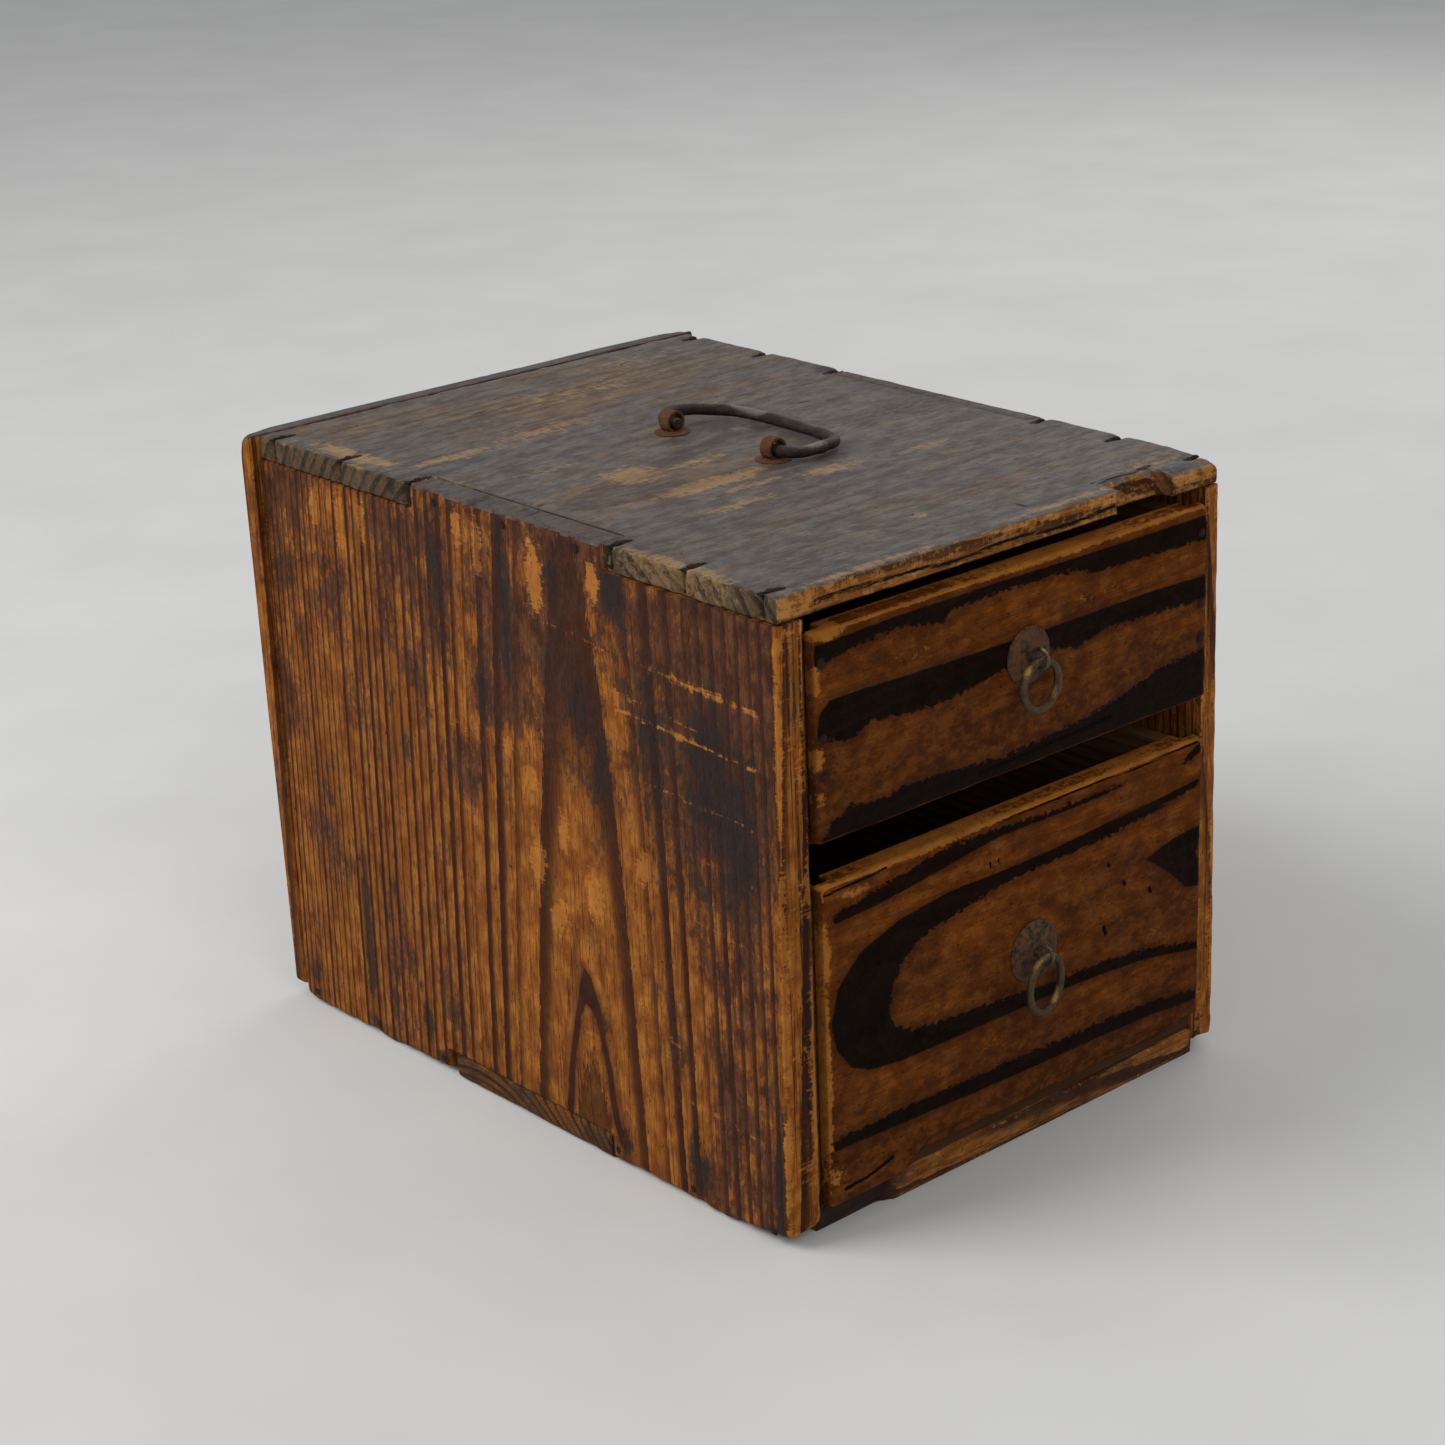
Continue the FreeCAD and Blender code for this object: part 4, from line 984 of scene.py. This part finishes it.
# %% [markdown]
# ## Bottom board, back panel and shelf
# The bottom board shows only its front edge and the two worn fingers that pass through the
# sides. The back panel is one wide board nailed on from behind. The shelf between the drawers
# is hidden in shadow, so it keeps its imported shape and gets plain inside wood.


# %% Bottom board and back panel
def bottom_board():
    low, high = bottom_low, bottom_high
    outline = [
        (INNER_LEFT, low[1] + 3), (-63, low[1] + 3.4), (-58, low[1]), (INNER_RIGHT, low[1]),
        (INNER_RIGHT, FOOT_FINGER[0]), (high[0], FOOT_FINGER[0]), (high[0], FOOT_FINGER[1] - 3),
        (high[0] - 6, FOOT_FINGER[1] - 4), (high[0] - 7, FOOT_FINGER[1]),
        (INNER_RIGHT, FOOT_FINGER[1]), (INNER_RIGHT, high[1]), (INNER_LEFT, high[1]),
        (INNER_LEFT, FOOT_FINGER[1]), (low[0] + 7, FOOT_FINGER[1]),
        (low[0] + 6, FOOT_FINGER[1] - 5), (low[0], FOOT_FINGER[1] - 4.5), (low[0], FOOT_FINGER[0]),
        (INNER_LEFT, FOOT_FINGER[0])]
    bm = bmesh.new()
    prism(bm, outline, 2, low[2], high[2])
    piece = even_skin("bottom_board_worn", bm, 1.5)
    places, facing = points_of(piece)
    rings = ring_numbers(places, 0, (25.0, -46.0), (0.02, 0.0), 3.4, 30.0, 0.2, 9)
    knocks = hills(places, (10, 8, 8), 41) + 0.6 * hills(places, 3.5, 42)
    edge = edge_nearness(places, low, high, 3.0)
    finger = ramp_up(np.abs(places[:, 0]), 98, 106)
    radius = 1.2 + 0.6 * knocks + 1.6 * finger * ramp_up(-places[:, 2], -6, 0)
    places = ease_edges(places, low, high, np.clip(radius, 0.5, 4.5))
    front_face = ramp_up(-facing[:, 1], 0.4, 0.8)
    places[:, 1] += 0.5 * front_face * (1 + hills(places, (16, 5, 3), 43))
    move_points(piece, places)
    ends = ramp_up(np.abs(facing[:, 0]), 0.4, 0.8)
    # painted shade: the front edge's set-back left end gets more soot and film and less rubbing, standing
    # for the shade in its recess
    grey = ramp_up(-places[:, 0], 55, 62) * front_face
    rub = 0.34 * edge + 0.20 * front_face + 0.12 * hills(places, (18, 6, 6), 44) - 0.9 * grey
    film = 0.46 + 0.3 * grey + 0.12 * hills(places, (30, 9, 9), 45)
    remember(piece, ring=rings, end=ends, film=film, rub=np.clip(rub, 0, 1),
             soot=0.7 * grey + 0.55 * bell(nail_distance(places, "under_nails"), 3))
    return piece


def back_panel():
    low, high = extent("back_panel")
    bm = bmesh.new()
    block(bm, low, high)
    piece = even_skin("back_panel_worn", bm, 1.5)
    places, facing = points_of(piece)
    rings = ring_numbers(places, 2, (20.0, 80.0), (0.03, 0.02), 5.2, 55.0, 0.12, 61)
    knocks = hills(places, 8, 51) + 0.6 * hills(places, 3.5, 52)
    corner = ramp_up(places[:, 2], 215, 227) * ramp_up(np.abs(places[:, 0]), 92, 104)
    edge = edge_nearness(places, low, high, 3.0)
    beside_top = (places[:, 1] < low[1] + 2.5) & (places[:, 2] > UNDER_TOP - 4)
    radius = np.where(beside_top, 0.3, np.clip(1.2 + 0.5 * knocks + 3.0 * corner, 0.5, 5))
    places = ease_edges(places, low, high, radius)
    places -= facing * (0.2 * (1 + hills(places, (30, 30, 60), 53)))[:, None]
    move_points(piece, places)
    nail = nail_distance(places, "back_nails")
    remember(piece, ring=rings, end=ramp_up(np.abs(facing[:, 2]), 0.4, 0.8),
             film=0.42 + 0.2 * hills(places, (50, 30, 60), 54) + 0.4 * ramp_up(facing[:, 2], 0.3, 0.7),
             rub=edge * (0.30 + 0.3 * hills(places, 14, 55)) * ramp_up(-facing[:, 2], -0.8, -0.2),
             soot=np.maximum(0.75 * bell(nail, 3.4),
                             0.7 * spot_mask(places, [0, 2], (30, 190), (40, 22))),
             crack=0.9 * np.exp(-(nail / 1.6) ** 4))
    return piece


finish_case_board(bottom_board(), "bottom_board", edge_cedar)
finish_case_board(back_panel(), "back_panel", side_cedar)

# %% [markdown]
# ## Inside wood
# The drawer boxes and the shelf were planed and then never cleaned: plain brown wood with
# faint grain lines and clouds of dust; the floors are painted near-black, a painted shade for
# the dark inside of the drawers. No number is stored on these pieces, so the rings are worked
# out in the material itself, as the distance from a pith line.


# %% Inside wood
def inside_cedar(name, along, pith, wood=("#6B4A2B", "#8A6540"), dustiness=0.5):
    """Plain planed cedar. The pith's place is in mm; its coordinate along the grain is ignored."""
    material, tree, shader = new_material(name)
    spot = add(tree, "TexCoord").outputs["Object"]
    across = [1000.0] * 3
    across[along] = 0.0
    from_pith = add(tree, "Mapping", {
        "Vector": spot, "Scale": across,
        "Location": [0.0 if i == along else -pith[i] for i in range(3)]})
    radius = add(tree, "VectorMath", [from_pith], operation="LENGTH")
    fibre = streaks(tree, along, 0.8, 18, 4.0, 0.6)
    dust = streaks(tree, along, 14, 40, 4.0, 0.6)
    ring = add(tree, "Math", [radius.outputs["Value"], 1 / 4.2, dust], operation="MULTIPLY_ADD")
    phase = add(tree, "Math", [ring], operation="FRACT")
    line = add(tree, "ValToRGB", {"Fac": phase}, stops=[
        (0.0, 0.0), (0.55, 0.05), (0.85, 0.5), (0.96, 0.6), (1.0, 0.0)])
    plain = add(tree, "ValToRGB", {"Fac": fibre}, stops=[(0.3, wood[0]), (0.7, wood[1])])
    dusty = add(tree, "MapRange", {"Value": dust, "From Min": 0.4, "From Max": 0.75, "To Max": 1.0})
    dirty = coats(tree, plain, (("#3E2514", line, 1), ("#4B3A2C", dusty, dustiness)))
    bump = add(tree, "Bump", {"Height": fibre, "Strength": 0.6, "Distance": 0.0002})
    join(shader, Base_Color=dirty, Roughness=0.8, Normal=bump, Specular_IOR_Level=0.12)
    return material


inside_along_depth = inside_cedar("inside_cedar_along_depth", 1, (30, 0, -60))
inside_across = inside_cedar("inside_cedar_across", 0, (0, 60, -40))
# painted shade: the floors' near-black browns stand for the shade inside the drawers
painted_shade_floor = inside_cedar("inside_cedar_floor_painted_shade", 0, (0, 40, -80), ("#2E1B0C", "#452B15"), 0.12)
INSIDE = {"left_wall": inside_along_depth, "right_wall": inside_along_depth,
          "floor": painted_shade_floor, "rear": inside_across, "shelf": inside_across}
for name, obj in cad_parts.items():
    whose, part = name.split("_", 1)
    if whose in ("upper", "lower", "drawer") and part in INSIDE:
        obj.data.materials.clear()
        obj.data.materials.append(INSIDE[part])
        print(name, "gets", INSIDE[part].name)

# %% [markdown]
# ## The drawer fronts
# Both fronts have broad near-black bands: late wood that took a scorch and kept its soot while
# the soft wood between was scrubbed back to tan. Each band has one crisp side, where the ring
# ends, and one frayed side. A band is drawn as a closed outline in the plane of the front; each
# point of the board stores how deep inside the outline it lies, and which side is nearer. The
# material then tears that edge with fine noise, which no mesh of points could hold.


# %% A worn drawer front
HAIR = 0.05                      # left between a front and its floor board, mm
FAR_OUTSIDE = -9.0               # a band's depth where no band is near


def drawer_front(node, bands, cracks, rubs, pith, tilt, first, lower_edge, seed):
    """A worn drawer front. Bands are pairs of paths, the crisp side and the frayed side."""
    low, high = extent(node)
    floor_low, floor_high = extent(node.replace("front", "floor"))
    wall_low, wall_high = extent(node.replace("front", "left_wall"))
    wall = wall_high[0] - wall_low[0]
    bm = bmesh.new()
    outline = lower_edge(low, high) + [(high[0], high[2]), (low[0], high[2])]
    prism(bm, outline, 1, low[1], floor_low[1] - HAIR)
    block(bm, (low[0] + wall, low[1] + 2, floor_high[2]), (high[0] - wall, high[1], high[2]))
    piece = even_skin(node + "_worn", bm, 0.8)
    places, facing = points_of(piece)
    x, y, z = places.T.copy()
    rings = ring_numbers(places, 0, pith, tilt, 3.1, first, 0.25, seed)

    knocks = hills(places, (9, 6, 6), seed) + 0.7 * hills(places, 3.0, seed + 1)
    face_side = ramp_up(-y, -high[1] + 3, -low[1])
    corner = spot_mask(places, [0, 2], (low[0], high[2]), (6, 6))
    upper_edge = ramp_up(z, high[2] - 8, high[2] - 3)
    radius = 0.7 + face_side * (1.5 + 0.5 * knocks + 2.4 * corner + 0.9 * upper_edge)
    edge = edge_nearness(places, low, high, 3.0)
    places = ease_edges(places, low, high, np.clip(radius, 0.4, 4.5))
    front_face = ramp_up(-facing[:, 1], 0.5, 0.85)
    plate_low, plate_high = extent(node.replace("front", "plate"))
    plate = (plate_low + plate_high) / 2
    plate_radius = (plate_high[0] - plate_low[0]) / 2
    clear = ramp_up(np.hypot(x - plate[0], z - plate[2]), plate_radius - 1, plate_radius + 4)
    dips = 0.22 * (1 + hills(places, (50, 20, 12), seed + 2)) + 0.12 * (1 + hills(places, 2.2, seed + 5))
    places[:, 1] += front_face * dips * clear

    scorch = np.full(len(x), FAR_OUTSIDE)
    fray = np.zeros(len(x))
    for crisp, frayed in bands:
        depth = outline_distance(x, z, crisp + frayed)
        torn = ramp_up(path_distance(x, z, crisp) - path_distance(x, z, frayed), -1.5, 1.5)
        fray = np.where(depth > scorch, torn, fray)
        scorch = np.maximum(scorch, depth)
    crack = np.zeros(len(x))
    for path, width in cracks:
        crack = np.maximum(crack, bell(path_distance(x, z, path), width))
    crack *= front_face
    places[:, 1] += 0.6 * crack
    if node == "upper_front":
        nail = nail_distance(places, "upper_front_nails")
        places[:, 1] += 0.5 * bell(nail, 2.4)
        soot = 0.7 * bell(nail, 3.4)
    else:
        soot = np.zeros(len(x))
    move_points(piece, places)
    end = ramp_up(np.abs(facing[:, 0]), 0.5, 0.85)
    top_face = ramp_up(facing[:, 2], 0.45, 0.8)
    rub = edge * (0.30 + 0.28 * hills(places, 12, seed + 3) + 0.32 * upper_edge) + 0.45 * top_face
    rub *= ramp_up(z, low[2] + 2, low[2] + 8)
    rub += 0.14 * hills(places, (24, 8, 5), seed + 6)
    rub = np.maximum(rub, marks(places, [0, 2], rubs))
    film = 0.44 + 0.20 * hills(places, (30, 10, 16), seed + 4)
    # painted shade: the film share grows towards the front's lower edge, darkening its lower part as if it
    # lay in shade
    film += 0.22 * ramp_up(-z, -high[2], -low[2] - 10) + 0.25 * ramp_up(-z, -low[2] - 30, -low[2] - 8)
    scorch = scorch * front_face + SCORCH_EDGE + FAR_OUTSIDE * (1 - front_face)
    remember(piece, ring=rings, end=end, film=film, rub=np.clip(rub, 0, 1), scorch=scorch,
             fray=fray, crack=crack, soot=soot)
    return piece


def straight_edge(low, high):
    return [(low[0], low[2]), (high[0], low[2])]


def worn_edge(low, high):
    """The lower drawer's edge: a tongue at its left end, then worn away to its right end."""
    return [(low[0], low[2]), (-63, low[2]), (-57, low[2] + 1.0), (-52, low[2] + 3.5),
            (-48.5, low[2] + 7.0), (-46, low[2] + 9.0), (-20, low[2] + 9.4), (30, low[2] + 9.2),
            (70, low[2] + 8.4), (high[0], low[2] + 7.6)]


# %% [markdown]
# ### The bands of the two fronts
# The upper front has three bands that run straight across. The lower one was sawn through a
# bulge in the log: its rings close to an arch at the left and to a small eye at the right.

# %% Two drawer fronts
UPPER_BANDS = [
    ([(-95, 208.8), (-55, 210.2), (0, 210.0), (50, 209.4), (97, 209.3)],
     [(97, 200.5), (64, 201.5), (39, 202), (28, 205.3), (-9, 206.6), (-32, 205.8), (-35, 202.6),
      (-45, 204), (-54, 206.3), (-72, 205.2), (-85, 203), (-95, 202)]),
    ([(-90, 186), (-85, 190), (-72, 190), (-33, 188.9), (15, 188.4), (64, 188.6), (97, 187.4)],
     [(97, 178.8), (65, 180.2), (39, 180.7), (29, 178.2), (15, 180.6), (-9, 179.2), (-33, 175.6),
      (-55, 176.8), (-68, 178.4), (-77, 174.4), (-86, 176.8), (-91, 178)]),
    ([(97, 141), (-92, 141)],
     [(-89, 146), (-86, 149), (-78, 152.7), (-65, 150.5), (-51, 151.9), (-33, 151.4), (-10, 149.2),
      (14.6, 150.4), (39.5, 152.7), (55, 155.7), (70, 159.4), (91, 160.7), (97, 161)])]
UPPER_CRACKS = [([(-20, 146.5), (20, 147.6), (45, 148.5)], 0.5)]
UPPER_RUBS = [  # across, height, the two reaches, strength
    (-91, 197, 4.0, 9, 0.8), (-90.5, 171, 4.0, 9, 0.75), (-90, 158, 5, 6, 0.6), (40, 195, 46, 5, 0.45),
    (-50, 196, 40, 5, 0.4), (86, 196, 12, 6, 0.4), (-86, 212, 14, 4, 0.9), (20, 212.5, 90, 2, 0.8)]
LOWER_RUBS = [
    (-91, 104, 4.5, 18, 0.9), (-91, 60, 3.2, 60, 0.9), (-88, 22, 7, 7, 0.6), (-40, 127, 70, 2.5, 0.85),
    (60, 127, 50, 2, 0.7), (-76, 122, 16, 4, 0.6), (70, 60, 20, 8, 0.4), (0, 44, 60, 6, 0.35)]
LOWER_BANDS = [
    ([(52, 120.9), (40, 120.2), (15, 120.3), (-10, 120.8), (-34, 118), (-57, 115.2), (-70, 114.2),
      (-86, 113.6)],
     [(-87, 116.8), (-70, 119.5), (-57, 121.7), (-34, 124.6), (-10, 124.0), (15, 122.4), (52, 121.8)]),
    ([(97, 125.6), (91, 125.0), (85.5, 122.6)], [(84, 120), (89, 120.6), (97, 122.8)]),
    ([(93, 111.9), (66, 110.3), (40, 109.4), (15, 108), (-10, 108), (-34, 108.4), (-57, 105.8),
      (-75, 100), (-85.5, 90.3), (-88.6, 78), (-86.3, 68.1), (-80, 60), (-72, 56.2), (-58, 54.4),
      (-35, 53.8), (-10, 53.4), (15, 53.2), (41, 52.1), (67, 49.7), (98, 43.8)],
     [(98, 46.8), (67, 53.7), (41, 57), (15, 57.6), (-10, 60.2), (-35, 62), (-52, 64), (-60, 68),
      (-62.5, 74), (-61, 82), (-57, 89.6), (-48, 95.5), (-34, 98.6), (-10, 102.8), (15, 103.9),
      (40, 104), (66, 106), (92.5, 109.6)]),
    ([(97, 24), (68, 26.4), (41, 27.5), (-10, 28.7), (-59, 30.6), (-89, 32)],
     [(-89, 36), (-59, 36.2), (-10, 34.9), (41, 33.2), (68, 31.8), (97, 27.8)]),
    ([(97, 69), (86, 71.7), (77.5, 80), (70, 85.5), (64, 89), (74.5, 91.7), (82.6, 93.1), (97, 93.6)],
     [(97, 87), (93, 85.5), (92, 83.5), (93, 81), (97, 79.5)])]
LOWER_CRACKS = [
    ([(-90, 124.6), (-62, 125.8)], 0.5), ([(-10, 125.6), (30, 126.0), (60, 125.4), (92, 126)], 0.45),
    ([(-84, 16.0), (-74, 16.6), (-62, 19.4)], 0.7),
    ([(53, 84), (54, 83)], 0.8), ([(43, 70), (44, 67)], 0.9), ([(45, 93.4), (45.5, 92.6)], 0.8),
    ([(67, 77), (67.6, 75.8)], 0.9), ([(-14, 112.6), (-13.6, 110.6)], 0.5),
    ([(-10, 112.4), (-9.4, 110.4)], 0.5)]

fronts = (  # node, bands, cracks, rubbed places, pith, its tilt, first ring, lower edge, seed
    ("upper_front", UPPER_BANDS, UPPER_CRACKS, UPPER_RUBS,
     (-40.0, 260.0), (0.02, 0.05), 30.0, straight_edge, 81),
    ("lower_front", LOWER_BANDS, LOWER_CRACKS, LOWER_RUBS,
     (-90.0, 79.0), (0.05, 0.0), 20.0, worn_edge, 91))
for node, *choices in fronts:
    piece = drawer_front(node, *choices)
    piece.data.materials.append(front_cedar)
    hand_over(piece, node, node.replace("front", "drawer"))

# %% [markdown]
# ## Nails
# The chest is held by small forged nails, each head a little lumpy and turned its own way. That
# is what Geometry Nodes are for: one nail is modelled from a low cone and a long one, it is set
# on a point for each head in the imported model, aligned to the way that nail was driven, and
# turned and sized at random from a fixed seed.


# %% One node tree for every nail
def nail_tree(iron):
    tree = bpy.data.node_groups.new("driven_nails", "GeometryNodeTree")
    tree.interface.new_socket("Geometry", in_out="OUTPUT", socket_type="NodeSocketGeometry")
    tree.interface.new_socket("Points", in_out="INPUT", socket_type="NodeSocketGeometry")
    for label, value in (("Head Radius", 0.0017), ("Head Height", 0.0006), ("Length", 0.024)):
        socket = tree.interface.new_socket(label, in_out="INPUT", socket_type="NodeSocketFloat")
        socket.default_value = value
    seed = tree.interface.new_socket("Seed", in_out="INPUT", socket_type="NodeSocketInt")
    seed.default_value = 7
    given = add(tree, "NodeGroupInput").outputs
    head = add(tree, "GeometryNodeMeshCone", {
        "Vertices": 11, "Side Segments": 1, "Fill Segments": 1,
        "Radius Top": 0.0011, "Radius Bottom": given["Head Radius"], "Depth": given["Head Height"]})
    half = add(tree, "Math", [given["Head Radius"], 0.6], operation="MULTIPLY")
    shank = add(tree, "GeometryNodeMeshCone", {
        "Vertices": 6, "Radius Top": 0.0004, "Radius Bottom": half, "Depth": given["Length"]})
    # the head's cone is turned to face back up the nail, just above the wood
    turned = add(tree, "GeometryNodeTransform", {
        "Geometry": head.outputs["Mesh"], "Rotation": (math.pi, 0, 0), "Translation": (0, 0, 0.00065)})
    nail = add(tree, "GeometryNodeJoinGeometry")
    tree.links.new(turned.outputs[0], nail.inputs[0])
    tree.links.new(shank.outputs["Mesh"], nail.inputs[0])
    way = add(tree, "GeometryNodeInputNamedAttribute", {"Name": "way"}, data_type="FLOAT_VECTOR")
    aligned = add(tree, "FunctionNodeAlignRotationToVector", {"Vector": way}, axis="Z")
    spin = add(tree, "FunctionNodeRandomValue", {"Min": 0.0, "Max": 6.283, "Seed": given["Seed"]},
               data_type="FLOAT")
    spun = add(tree, "FunctionNodeAxisAngleToRotation", {"Axis": (0, 0, 1), "Angle": spin})
    both = add(tree, "FunctionNodeRotateRotation", {"Rotation": aligned, "Rotate By": spun},
               rotation_space="LOCAL")
    size = add(tree, "FunctionNodeRandomValue", {"Min": 0.85, "Max": 1.08, "Seed": given["Seed"]},
               data_type="FLOAT")
    wide = add(tree, "CombineXYZ", {"X": size, "Y": 1.0, "Z": 1.0})
    placed = add(tree, "GeometryNodeInstanceOnPoints", {
        "Points": given["Points"], "Instance": nail.outputs[0], "Rotation": both, "Scale": wide})
    real = add(tree, "GeometryNodeRealizeInstances", {"Geometry": placed})
    finished = add(tree, "GeometryNodeSetMaterial", {"Geometry": real, "Material": iron})
    add(tree, "NodeGroupOutput", {"Geometry": finished})
    return tree


# %% [markdown]
# ### Nails on their places
# A mesh of loose points carries the nails: one point at each head, with the way that the nail
# was driven stored on it. The modifier's result is kept as a plain mesh, one for each group.


# %% A group of nails
def driven_nails(node, tree, body):
    """All nails of a packed group, as one mesh on the same places."""
    heads, ways, length = nails_of[node]
    mesh = bpy.data.meshes.new(node + "_points")
    mesh.from_pydata((heads * MM).tolist(), [], [])
    layer = mesh.attributes.new("way", "FLOAT_VECTOR", "POINT")
    layer.data.foreach_set("vector", ways.ravel())
    piece = put(node + "_forged", mesh)
    driven = piece.modifiers.new("nails", "NODES")
    driven.node_group = tree
    sockets = {item.name: item.identifier for item in tree.interface.items_tree
               if item.in_out == "INPUT"}
    driven[sockets["Length"]] = float(length * MM)
    driven[sockets["Seed"]] = len(node)
    keep_result(piece)
    hand_over(piece, node, body)


# %% [markdown]
# ## Iron and brass
# Old metal is never one colour. Under everything lies the worked metal; a dull skin of rust or
# tarnish covers it in patches; and where hands, or the ring beside it, keep it polished, it
# shines. The three coats are the same for every piece and only their colours and shares change,
# so one recipe makes the iron of the handle, the rust of the washers, the brown plates and the
# greenish brass rings.


# %% The metal material
def old_metal(name, worked, skin, spots, polish, covered, metallic, rough):
    """worked and skin are pairs of colours, covered the share under spots."""
    material, tree, shader = new_material(name)
    grain = streaks(tree, 2, 0.35, 0.35, 4.0, 0.6)
    patch = streaks(tree, 2, 2.4, 2.4, 5.0, 0.65)
    drift = streaks(tree, 2, 9, 9, 3.0, 0.6)
    polished = add(tree, "Attribute", attribute_name="rub").outputs["Fac"]
    base = add(tree, "ValToRGB", {"Fac": patch}, stops=[(0.38, worked[0]), (0.62, worked[1])])
    tarnish = add(tree, "ValToRGB", {"Fac": grain}, stops=[(0.38, skin[0]), (0.62, skin[1])])
    skinned = ragged(tree, drift, patch, 0.8, 0.35, 0.75)
    speckled = add(tree, "MapRange", {
        "Value": patch, "From Min": 0.62 - 0.3 * covered, "From Max": 0.72 - 0.3 * covered})
    spotted = add(tree, "Math", [speckled, grain], operation="MULTIPLY")
    bright = ragged(tree, polished, grain, 0.8, 0.4, 0.7)
    coloured = coats(tree, base, ((tarnish, skinned, 1), (spots, spotted, 1), (polish, bright, 1)))
    dullness = add(tree, "MapRange", {"Value": bright, "To Min": rough, "To Max": rough - 0.22})
    sheen = add(tree, "MapRange", {"Value": skinned, "To Min": metallic, "To Max": metallic * 0.6})
    pitted = add(tree, "Math", [patch, 1.5, grain], operation="MULTIPLY_ADD")
    bump = add(tree, "Bump", {"Height": pitted, "Strength": 0.9, "Distance": RELIEF})
    join(shader, Base_Color=coloured, Roughness=dullness, Metallic=sheen, Normal=bump,
         Specular_IOR_Level=0.2)
    return material


handle_iron = old_metal("handle_iron", ("#2E2724", "#453B36"), ("#1D1816", "#332924"),
                        "#4F3524", "#75695F", 0.25, 0.7, 0.5)
washer_rust = old_metal("rusted_washers", ("#4A2E1B", "#6C4628"), ("#5C3A20", "#80522C"),
                        "#22140C", "#93704A", 0.5, 0.15, 0.75)
plate_iron = old_metal("brown_plates", ("#2C1C12", "#66503A"), ("#1A110C", "#4A3323"),
                       "#6E3D1A", "#8C7A60", 0.5, 0.2, 0.6)
pull_brass = old_metal("tarnished_rings", ("#47392A", "#6B563C"), ("#2E261D", "#4C3F2F"),
                       "#2B241B", "#B08A4A", 0.3, 0.6, 0.5)
pull_wire = old_metal("split_pins", ("#51473A", "#7A6C57"), ("#383027", "#574A3B"),
                      "#2A2018", "#A48D66", 0.3, 0.55, 0.5)
nail_rust = old_metal("rusted_nails", ("#1C120C", "#38231A"), ("#22140C", "#442816"),
                      "#0E0906", "#5E412B", 0.5, 0.05, 0.85)
print("six metals")

# %% [markdown]
# ## The metal pieces
# Wire and plate were hammered, so no two places are quite alike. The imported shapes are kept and
# given a fine even skin with shallow dents. The dents only go inward, so that a ring still
# hangs free in its eye. What faces up is rubbed a little brighter.

# %% Metal pieces
def forged(node, step, dent, size, seed, upward):
    """A packed metal piece under one even skin, with shallow dents that only go inward, in mm."""
    piece = even_skin(node + "_forged", merged(node), step)
    places, facing = points_of(piece)
    dents = (1 + hills(places, size, seed)) / 2
    places -= facing * (dent * dents)[:, None]
    move_points(piece, places)
    worn = 0.15 + 0.4 * hills(places, 2 * size, seed + 1) + upward * facing[:, 2]
    remember(piece, rub=np.clip(worn, 0, 1))
    return piece


IRONS = [  # node, body, slot, finish, skin step, dent, dent size, polish on what faces up
    ("bail_handle", "bail", "handle_iron", handle_iron, 0.45, 0.2, 5.0, 0.3),
    ("handle_seat_front", "case", "washer_iron", washer_rust, 0.3, 0.25, 2.5, 0.0),
    ("handle_seat_rear", "case", "washer_iron", washer_rust, 0.3, 0.25, 2.5, 0.0),
    ("handle_eye_front", "case", "handle_iron", washer_rust, 0.25, 0.2, 2.0, 0.1),
    ("handle_eye_rear", "case", "handle_iron", washer_rust, 0.25, 0.2, 2.0, 0.1),
    ("upper_plate", "upper_drawer", "plate_iron", plate_iron, 0.3, 0.3, 3.0, 0.2),
    ("lower_plate", "lower_drawer", "plate_iron", plate_iron, 0.3, 0.3, 3.5, 0.2),
    ("upper_pin", "upper_drawer", "pull_wire", pull_wire, 0.25, 0.1, 1.5, 0.4),
    ("lower_pin", "lower_drawer", "pull_wire", pull_wire, 0.25, 0.1, 1.5, 0.4),
    ("upper_ring", "upper_pull", "pull_brass", pull_brass, 0.2, 0.12, 1.6, 0.4),
    ("lower_ring", "lower_pull", "pull_brass", pull_brass, 0.2, 0.12, 1.8, 0.4)]
for seed, (node, body, slot, finish, step, dent, size, upward) in enumerate(IRONS, start=200):
    piece = forged(node, step, dent, size, seed, upward)
    piece.data.materials.append(finish)
    hand_over(piece, node, body)

one_nail = nail_tree(nail_rust)
for node in NAIL_GROUPS:
    whose = node.split("_")[0]
    driven_nails(node, one_nail, whose + "_drawer" if whose in ("upper", "lower") else "case")
